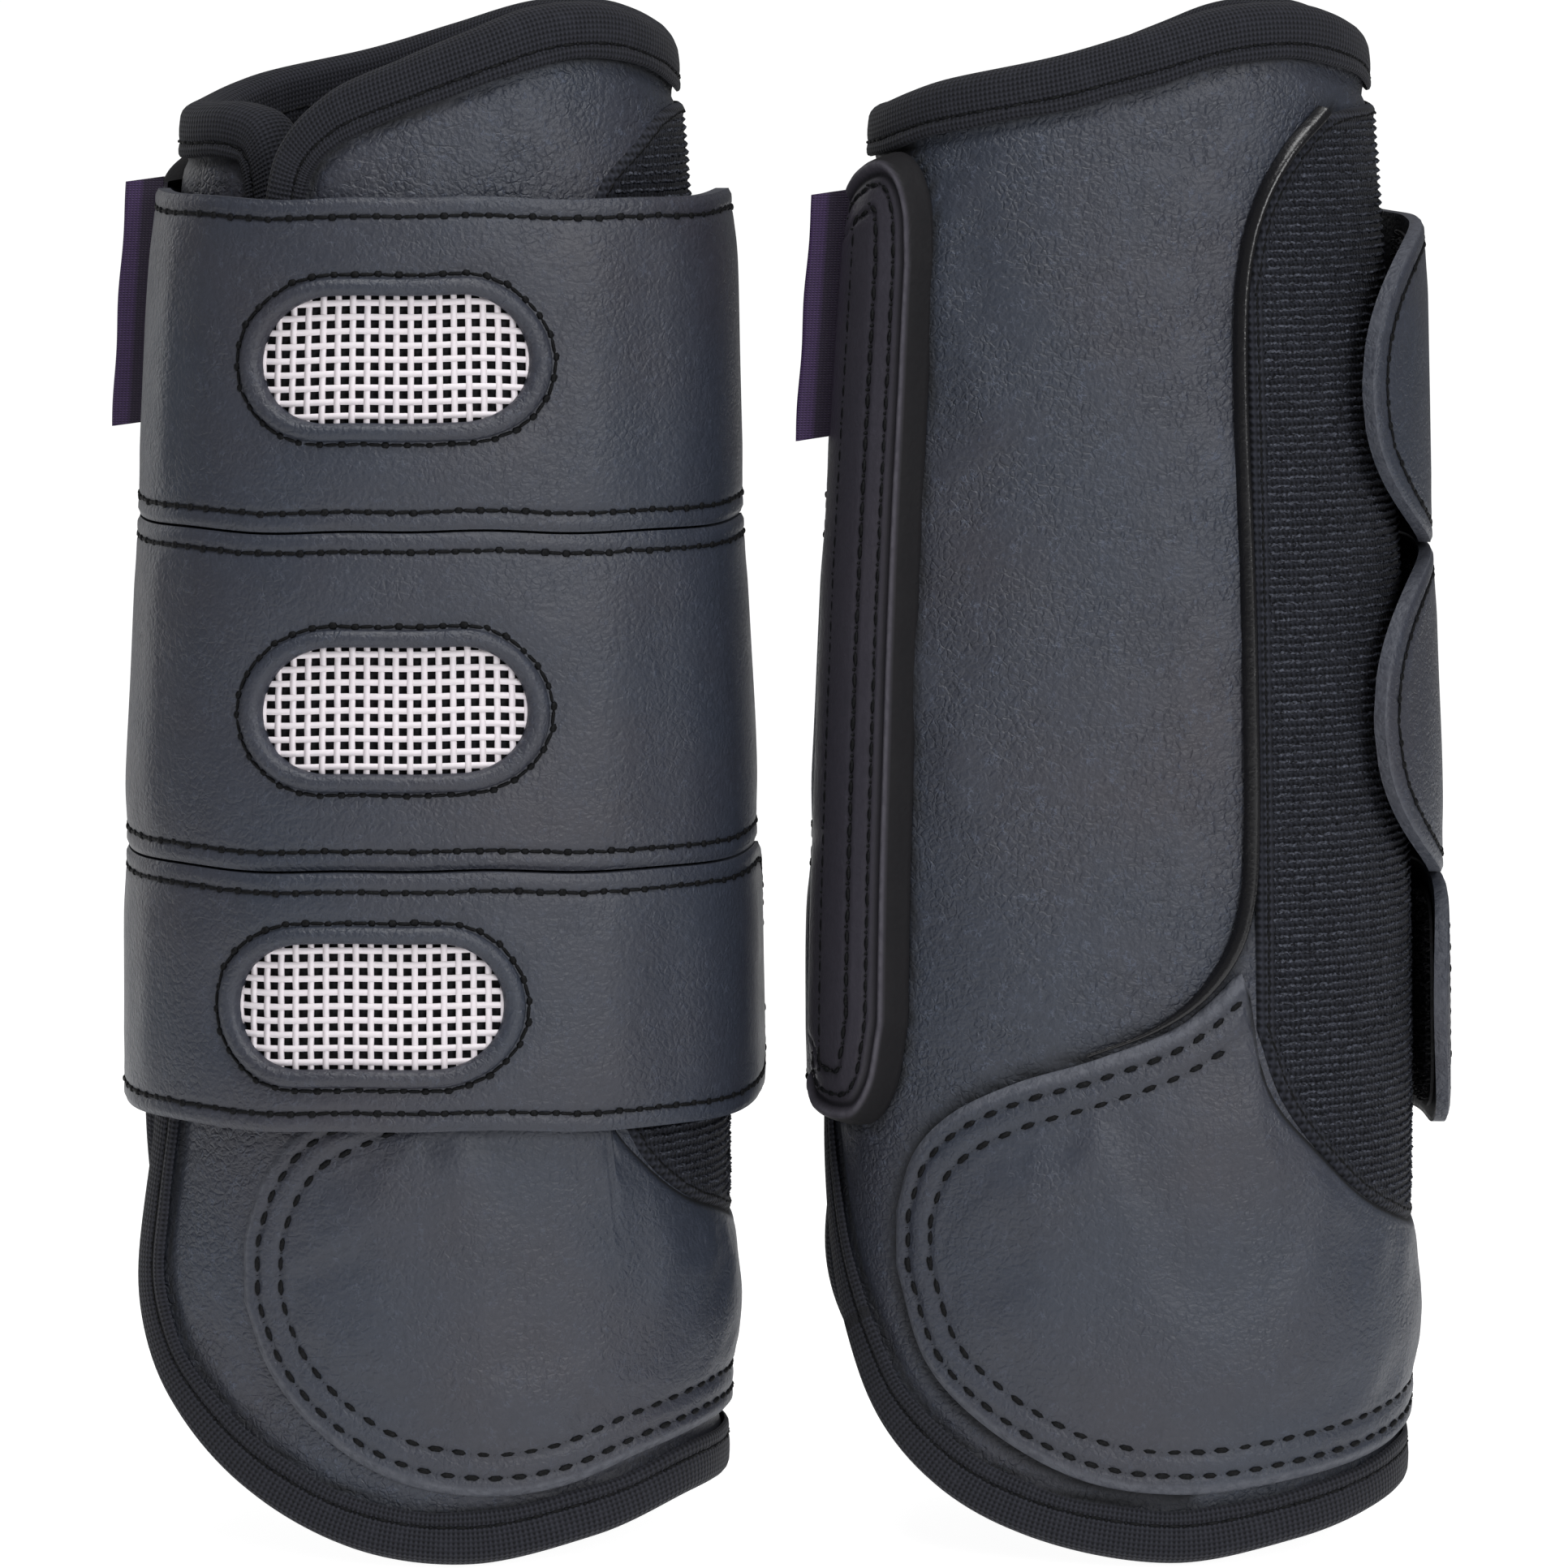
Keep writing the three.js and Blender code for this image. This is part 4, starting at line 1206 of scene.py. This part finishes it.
def labelTab(boot):
    # a woven strip folded in two, with its fold at the tip
    out = np.linspace(0, 1, 15)[:, None]
    up = np.linspace(0, 1, 60)[None]
    z = lerp(label["low"], label["high"], up) - label["slope"] * out - boot["labelDrop"]
    offset = lerp(label["root"], label["tip"], out) + 0.12 * np.sin(z / 2.9) * out
    perDegree = math.radians(1) * leg["halfLength"]
    middle = label["angle"] + (0.5 * np.sin(z / 8.5) * out ** 2) / perDegree
    fold = ((out - label["foldFrom"]) / (1 - label["foldFrom"])).clip(0)
    half = label["thick"] / 2 * np.sqrt(np.clip(1 - fold ** 2, 0.02, 1)) / perDegree
    uv = np.stack([z, offset], -1) * mm
    points, faces = slab(onLeg(boot, middle + half, z, offset), onLeg(boot, middle - half, z, offset))
    return makePiece(boot["name"] + "_woven_label", points, faces, finish["label"], both(uv),
                     crease=60)


# ---- the straps, each one piece of leather from its root under the anchor panel to its rounded end
strap = {
    "root": 214, "slit": 0.42, "inner": 1.5, "thin": 1.2, "thick": 2.4, "rear": 4.2,
    "riseFrom": 66, "riseTo": 22, "topLift": 1.4, "columns": 180, "stitchAt": 3.0, "roundness": 2.2,
    "turn": 7.0, "folds": ((53, 5, 0.38), (41, 5, -0.38), (152, 4, 0.3)),
}
straps = [
    {"name": "upper", "low": 169, "high": 222.7, "ventAngle": 96, "ventHeight": 196.6,
     "reach": 39, "padLift": 0, "tipFlare": 0.9, "seed": 0.4},
    {"name": "middle", "low": 114.3, "high": 169, "ventAngle": 96, "ventHeight": 140.2,
     "reach": 38, "padLift": 0, "tipFlare": 0.9, "seed": 2.2},
    {"name": "lower", "low": 72, "high": 114.3, "ventAngle": 101, "ventHeight": 92.5,
     "reach": 16, "padLift": 1.3, "tipFlare": 1.4, "seed": 3.7},
]
vent = {"length": 40.6, "height": 20.4, "lip": 2.95, "stitchAt": 3.4, "pitch": 2.26, "strand": 0.98,
        "strandThick": 0.42, "level": 1.0}
hook = {"margin": 2.6, "start": 12, "top": -0.4, "base": 0.5, "pitch": 1.25, "tall": 0.85,
        "thick": 0.34, "lean": 0.5}


def strapPiece(boot, kind, model):
    return f"{boot['name']}_{kind}_{model['name']}"


def middleOf(model):
    return (model["low"] + model["high"]) / 2


def halfOf(model):
    return (model["high"] - model["low"] - strap["slit"]) / 2


def sag(boot, angle):
    return boot["drop"] * np.clip(1 - np.asarray(angle) / 180, 0, 1)


def strapInner(model, angle, z):
    front = strap["inner"] + model["padLift"] * (1 - ease(angle, 116, 134))
    rear = strap["rear"] + strap["topLift"] * ease(z, 165, 222)
    flare = model["tipFlare"] * (1 - ease(angle, -model["reach"], 6))
    return lerp(rear, front, ease(angle, strap["riseTo"], strap["riseFrom"])) + flare


def strapThick(angle):
    return lerp(strap["thick"], strap["thin"], ease(angle, 181, 189))


def onStrap(boot, model, angle, height, offset):
    # height is counted from the strap's middle line, offset from its inner face
    sway = 0.28 * np.sin(np.asarray(angle) / 13 + boot["seed"]) + 0.15 * np.sin(np.asarray(angle) / 5.3)
    z = middleOf(model) + height - sag(boot, angle) + sway
    return onLeg(boot, angle, z, strapInner(model, angle, z) + offset)


def tipLine(model, margin, count):
    # the strap's rounded end, from its upper edge to its lower one, as [angle, height]
    half = halfOf(model) - margin
    reach = model["reach"] * leg["perDegree"] - margin
    turn = np.linspace(0, math.pi / 2, count)
    power = 2 / strap["roundness"]
    x, y = reach * np.sin(turn) ** power, half * np.cos(turn) ** power
    upper, lower = np.stack([-x, y], -1), np.stack([-x, -y], -1)[::-1]
    return np.concatenate([upper, lower[1:]]) / (leg["perDegree"], 1)


def halfHeight(model, angle, margin=0.0):
    line = tipLine(model, margin, 60)[:60][::-1]
    half = halfOf(model) - margin
    return np.where(angle < 0, np.interp(angle, line[:, 0], line[:, 1]), half)


def ventRadius(model):
    return float(legRadius(model["ventAngle"], model["ventHeight"], strap["inner"]))


def ventDistance(boot, model, angle, height):
    # how far a point of the strap lies outside the vent's outline
    x = np.radians(model["ventAngle"] - angle) * ventRadius(model)
    y = middleOf(model) + height - model["ventHeight"]
    straight = (vent["length"] - vent["height"]) / 2
    return np.hypot(np.maximum(np.abs(x) - straight, 0), y) - vent["height"] / 2


def onVent(boot, model, x, y, offset):
    angle = model["ventAngle"] - np.degrees(x / ventRadius(model))
    return onStrap(boot, model, angle, y + model["ventHeight"] - middleOf(model), offset)


def ventOutline(grow, count):
    # the vent's rounded outline, evenly spaced
    radius, straight = vent["height"] / 2 + grow, (vent["length"] - vent["height"]) / 2
    turn = np.linspace(-math.pi / 2, math.pi / 2, 40)
    right = np.stack([straight + radius * np.cos(turn), radius * np.sin(turn)], -1)
    line = np.concatenate([right, -right])
    return evenly(np.concatenate([line, line[:1]]), count + 1)[:-1]


def bendAcross(piece, boot, body):
    # the strap bends over a short stretch at its hinge
    joint = next(j for j in frame["joints"] if j["child"] == body)
    pivot = np.array(joint["pos_m"])
    direction = np.array([0.944, -0.33 * boot["side"], 0])
    reach = direction * strap["turn"] * mm
    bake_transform(piece, boot["name"] + "_boot", body, start=tuple(pivot - reach), end=tuple(pivot + reach))


def strapLeather(boot, model):
    last = -model["reach"] + 0.02
    angle = lerp(strap["root"], last, slowing(strap["columns"], 0.35))
    half = float(halfHeight(model, np.array(90.0)))
    nearEdge = np.array([0, 0.2, 0.5, 0.9, 1.5, 2.1, 2.5, 2.8, 3.1, 3.4, 3.9, 4.7]) / half
    middle = np.linspace(nearEdge[-1], 2 - nearEdge[-1], 36)[1:-1]
    v = np.concatenate([nearEdge, middle, 2 - nearEdge[::-1]]) - 1
    angle = np.repeat(angle[:, None], len(v), 1)
    height = v[None] * np.maximum(halfHeight(model, angle), 0.25)
    root = strap["root"]
    outline = toFlat(np.concatenate([[[root, half]], tipLine(model, 0.0, 60), [[root, -half]]]))
    flat = pattern(angle, height)
    d = distanceTo(flat, outline)
    hole = ventDistance(boot, model, angle, height)
    thick = strapThick(angle)
    offset = thick - 0.38 * (1 - ease(d, 0, 1.0)) - 0.3 * dip(d, strap["stitchAt"], 0.62)
    fold = sum(tall * dip(angle, at, width) for at, width, tall in strap["folds"])
    wave = 0.3 * ripple(angle, height, model["seed"] + boot["seed"])
    relief = 0.22 * ease(d, 3.4, 12) + (fold + wave) * ease(d, 2, 9)
    offset += relief * ease(hole, 3.0, 9.0) * ease(thick, strap["thin"], strap["thick"])
    offset -= 0.32 * dip(hole, vent["stitchAt"], 0.7)
    keep = (hole[:-1, :-1] + hole[1:, 1:] + hole[1:, :-1] + hole[:-1, 1:]) / 4 > 1.2
    points, faces = layer(partial(onStrap, boot, model), angle, height, offset, 0, keep)
    rim = (1 - ease(d, 0.1, 0.5)) * ease(-angle, -40, 10) * 0.75
    worn = np.concatenate([rim.reshape(-1), (1 - ease(d, 0.1, 0.5)).reshape(-1) * 0.5])
    # painted shade: the outer face is darkened a little in its stitch grooves and round the vent, and the
    # inner face away from its edges is painted darker as if in shade
    paintedShade = 0.1 * dip(d, strap["stitchAt"], 0.5) + 0.1 * dip(hole, vent["stitchAt"], 0.5)
    under = np.concatenate([paintedShade.reshape(-1), 0.5 * ease(d, 0.4, 1.0).reshape(-1)])
    return makePiece(strapPiece(boot, "strap_leather", model), points, faces, finish["strap"],
                     both(flat * mm), {"edge": worn, "paintedShade": under}, crease=50)


def strapStitches(boot, model):
    inset, sunk = strap["stitchAt"], 0.2
    half = float(halfHeight(model, np.array(90.0), inset))
    front = np.linspace(187, 1, 90)
    top, bottom = np.stack([front, half + 0 * front], -1), np.stack([front[::-1], -half + 0 * front], -1)
    line = np.concatenate([top, tipLine(model, inset, 40), bottom])
    rows = [laidLine(partial(onStrap, boot, model), *line.T, strapThick(line[:, 0]) - sunk)]
    ring = ventOutline(vent["stitchAt"], 160)
    rows.append(laidLine(partial(onVent, boot, model), *ring.T, strap["thick"] - sunk, True))
    return stitches(strapPiece(boot, "strap_stitches", model), rows, "strap")


def ventLip(boot, model):
    t = strap["thick"]
    section = [
        [vent["lip"], t - 0.12], [2.65, t + 0.42], [2.1, t + 0.78], [1.45, t + 0.92], [0.85, t + 0.8],
        [0.35, t + 0.45], [0.05, t - 0.15], [0.0, 1.3], [0.2, 0.5], [0.9, 0.3], [1.5, t - 0.5],
        [2.8, t - 0.5],
    ]
    rings = [ventOutline(grow, 110) for grow, _ in section]
    sections = np.stack([onVent(boot, model, ring[:, 0], ring[:, 1], height)
                         for ring, (_, height) in zip(rings, section)], 1)
    points, faces = band(sections)
    return makePiece(strapPiece(boot, "vent_lip", model), points, faces, finish["strap"], crease=80)


def ventWeave(boot, model):
    straight, radius = (vent["length"] - vent["height"]) / 2, vent["height"] / 2 + 0.9
    pitch, level = vent["pitch"], vent["level"]
    lines = []
    place = partial(onVent, boot, model)
    for row in range(-4, 5):
        end = straight + math.sqrt(radius ** 2 - (row * pitch) ** 2)
        x = np.linspace(-end, end, 80)
        lines.append(laidLine(place, x, row * pitch + 0 * x, level, phase=x / pitch + row + 0.5))
    for column in range(-9, 10):
        beyond = max(abs(column * pitch) - straight, 0)
        if beyond < radius:
            end = math.sqrt(radius ** 2 - beyond ** 2)
            y = np.linspace(-end, end, 40)
            x = column * pitch + 0 * y
            lines.append(laidLine(place, x, y, level, phase=y / pitch + column + 1.5))
    return grow(strapPiece(boot, "vent_weave", model), trees["strand"], lineMesh(lines), {
        "Wide": vent["strand"] * mm, "Thick": vent["strandThick"] * mm, "Material": finish["mesh"],
    })


def ventShadeSheet(boot, model):
    # a dark knit sheet under the mesh: painted shade that stands in for the shadow seen through the mesh
    ring = ventOutline(1.4, 72)
    spread = np.linspace(0, 1, 9)[None, :, None]
    flat = ring[:, None] * spread
    flat = np.concatenate([flat, flat[:1]])
    outer = onVent(boot, model, flat[..., 0], flat[..., 1], 0.22)
    inner = onVent(boot, model, flat[..., 0], flat[..., 1], 0.02)
    rows = outer.shape[1]
    ids = np.arange(72 * rows).reshape(72, rows)
    ids = np.concatenate([ids, ids[:1]])
    cells = quads(ids).reshape(-1, 4)
    total = 72 * rows
    rim = np.stack([ids[:-1, -1], ids[1:, -1], ids[1:, -1] + total, ids[:-1, -1] + total], -1)
    points = np.concatenate([outer[:-1].reshape(-1, 3), inner[:-1].reshape(-1, 3)])
    faces = np.concatenate([cells, cells[:, ::-1] + total, rim[:, ::-1]])
    return makePiece(strapPiece(boot, "vent_shade_sheet", model), points, faces, finish["lining"],
                     both(flat[:-1] * mm))


def hookPad(boot, model):
    # hook tape inside the strap's end: a thin base with bent bristles that face the leg
    margin = hook["margin"]
    last = -model["reach"] + (margin + 0.3) / leg["perDegree"]
    v = np.linspace(-1, 1, 40)[None]
    angle = lerp(hook["start"], last, slowing(44, 0.5))[:, None] + 0 * v
    height = v * np.maximum(halfHeight(model, angle, margin), 0.3)
    top, low = hook["top"], hook["top"] - hook["base"]
    place = partial(onStrap, boot, model)
    points, faces = layer(place, angle, height, top, low)
    flat = pattern(angle, height)
    base = makePiece(strapPiece(boot, "hook_base", model), points, faces, finish["hooks"],
                     both(flat * mm))
    pitch = hook["pitch"]
    step = pitch / leg["perDegree"]
    across, up = np.meshgrid(
        np.arange(last + step, hook["start"] - step / 2, step), np.arange(-30, 30, pitch), indexing="ij")
    shake = np.random.default_rng(7).uniform(-0.3, 0.3, (2, *across.shape))
    across, up = (across + shake[0] * step).ravel(), (up + shake[1] * pitch).ravel()
    inside = np.abs(up) < halfHeight(model, across, margin) - 0.6
    across, up = across[inside], up[inside]
    feet, ups = laidLine(place, across, up, low + 0.05)[:2]
    lines = [(foot[None], -up[None], False, None) for foot, up in zip(feet, ups)]
    hooks = grow(strapPiece(boot, "hooks", model), trees["hook"], lineMesh(lines), {
        "Tall": hook["tall"] * mm, "Thick": hook["thick"] * mm, "Lean": hook["lean"],
        "Material": finish["hooks"],
    })
    return base, hooks


# ---- putting the pair together

def settle(piece, body, slot, *nodes):
    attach(piece, body)
    if nodes:
        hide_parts(*nodes)


def buildBoot(boot):
    side = boot["name"]
    body = side + "_boot"
    leatherShell = outerShell(boot)
    settle(leatherShell, body, "leather", side + "_outer_shell")
    inside, size, area = liningSheet(boot)
    settle(inside, body, "lining", side + "_lining")
    edging, edgingStitches = edgeTape(boot)
    settle(edging, body, "binding", side + "_edge_binding")
    settle(edgingStitches, body, "binding")
    guard, guardStitches = strikePad(boot)
    settle(guard, body, "leather", side + "_strike_pad")
    settle(guardStitches, body, "leather")
    backing, ribs, loopStitches = loopField(boot)
    settle(backing, body, "loop", side + "_loop_field")
    settle(ribs, body, "loop")
    settle(loopStitches, body, "loop")
    settle(seamPiping(boot), body, "panel", side + "_spine_piping")
    cover, coverStitches = anchorPanel(boot)
    settle(cover, body, "panel", side + "_anchor_panel")
    settle(coverStitches, body, "panel")
    tab = labelTab(boot)
    settle(tab, body, "label", side + "_label_tab")
    frame["nodes"][side + "_foam_core"].data.materials.clear()
    frame["nodes"][side + "_foam_core"].data.materials.append(finish["foam"])
    print(side, "boot made")


def buildStrap(boot, model):
    side, level = boot["name"], model["name"]
    body = f"{side}_strap_{level}"
    leatherBand = strapLeather(boot, model)
    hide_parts(body, f"{side}_strap_base_{level}")
    for piece in (leatherBand, strapStitches(boot, model)):
        bendAcross(piece, boot, body)
    settle(ventLip(boot, model), body, "leather", f"{side}_vent_rim_{level}")
    settle(ventWeave(boot, model), body, "mesh", f"{side}_vent_mesh_{level}")
    settle(ventShadeSheet(boot, model), body, "lining")
    base, hooks = hookPad(boot, model)
    settle(base, body, "hook", f"{side}_hook_patch_{level}")
    settle(hooks, body, "hook")
    print(side, level, "strap made")


for boot in bootList():
    buildBoot(boot)
    for model in straps:
        buildStrap(boot, model)


# ---- a pale floor and soft light
stage = {"length": 3.0, "width": 0.55, "middle": 0.06, "height": -0.0006, "glow": 0.95}


def paleFloor():
    long, half, z = stage["length"], stage["width"], stage["height"]
    square = (-1, -1), (1, -1), (1, 1), (-1, 1)
    corners = [(stage["middle"] + x * half, y * long, z) for x, y in square]
    mesh = bpy.data.meshes.new("floor")
    mesh.from_pydata(corners, [], [(0, 1, 2, 3)])
    material, board = newBoard("pale paper")
    tooth = noise(board, placed(board), 4.0)
    base = board.mix(tooth, colour(0.30, 0.30, 0.30), colour(0.34, 0.34, 0.34))
    surface(board, base, 0.9 + 0.05 * tooth,
            Emission_Color=(1, 1, 1, 1), Emission_Strength=stage["glow"])
    mesh.materials.append(material)
    floor = bpy.data.objects.new("floor", mesh)
    scene.collection.objects.link(floor)


lights = [
    # where it hangs, its size, its power
    {"name": "front", "at": (0.95, -1.7, 0.9), "size": (0.8, 0.9), "watts": 22},
    {"name": "rim", "at": (-1.4, 1.5, 0.5), "size": (0.5, 1.4), "watts": 5},
    {"name": "above", "at": (0.0, -0.6, 1.8), "size": (0.9, 0.9), "watts": 23},
]
# the room is dim for the pair but white where the camera sees it
sky = {"strength": 0.20, "seen": 1.05}


def lightUp():
    middle = Vector(view["target"])
    for lamp in lights:
        data = bpy.data.lights.new(lamp["name"], "AREA")
        data.shape = "RECTANGLE"
        data.size, data.size_y = lamp["size"]
        data.energy = lamp["watts"]
        item = bpy.data.objects.new(lamp["name"], data)
        item.location = lamp["at"]
        item.rotation_euler = (middle - item.location).to_track_quat("-Z", "Y").to_euler()
        scene.collection.objects.link(item)
    world = bpy.data.worlds.new("room")
    world.use_nodes = True
    board = Board(world.node_tree)
    seen = board.add("ShaderNodeLightPath", {}, {}, "Is Camera Ray")
    strength = seen * (sky["seen"] - sky["strength"]) + sky["strength"]
    back = world.node_tree.nodes["Background"]
    back.inputs["Color"].default_value = (1, 1, 1, 1)
    world.node_tree.links.new(strength.socket, back.inputs["Strength"])
    scene.world = world
    scene.view_settings.view_transform = "Standard"


paleFloor()
lightUp()
print("stage and light made")
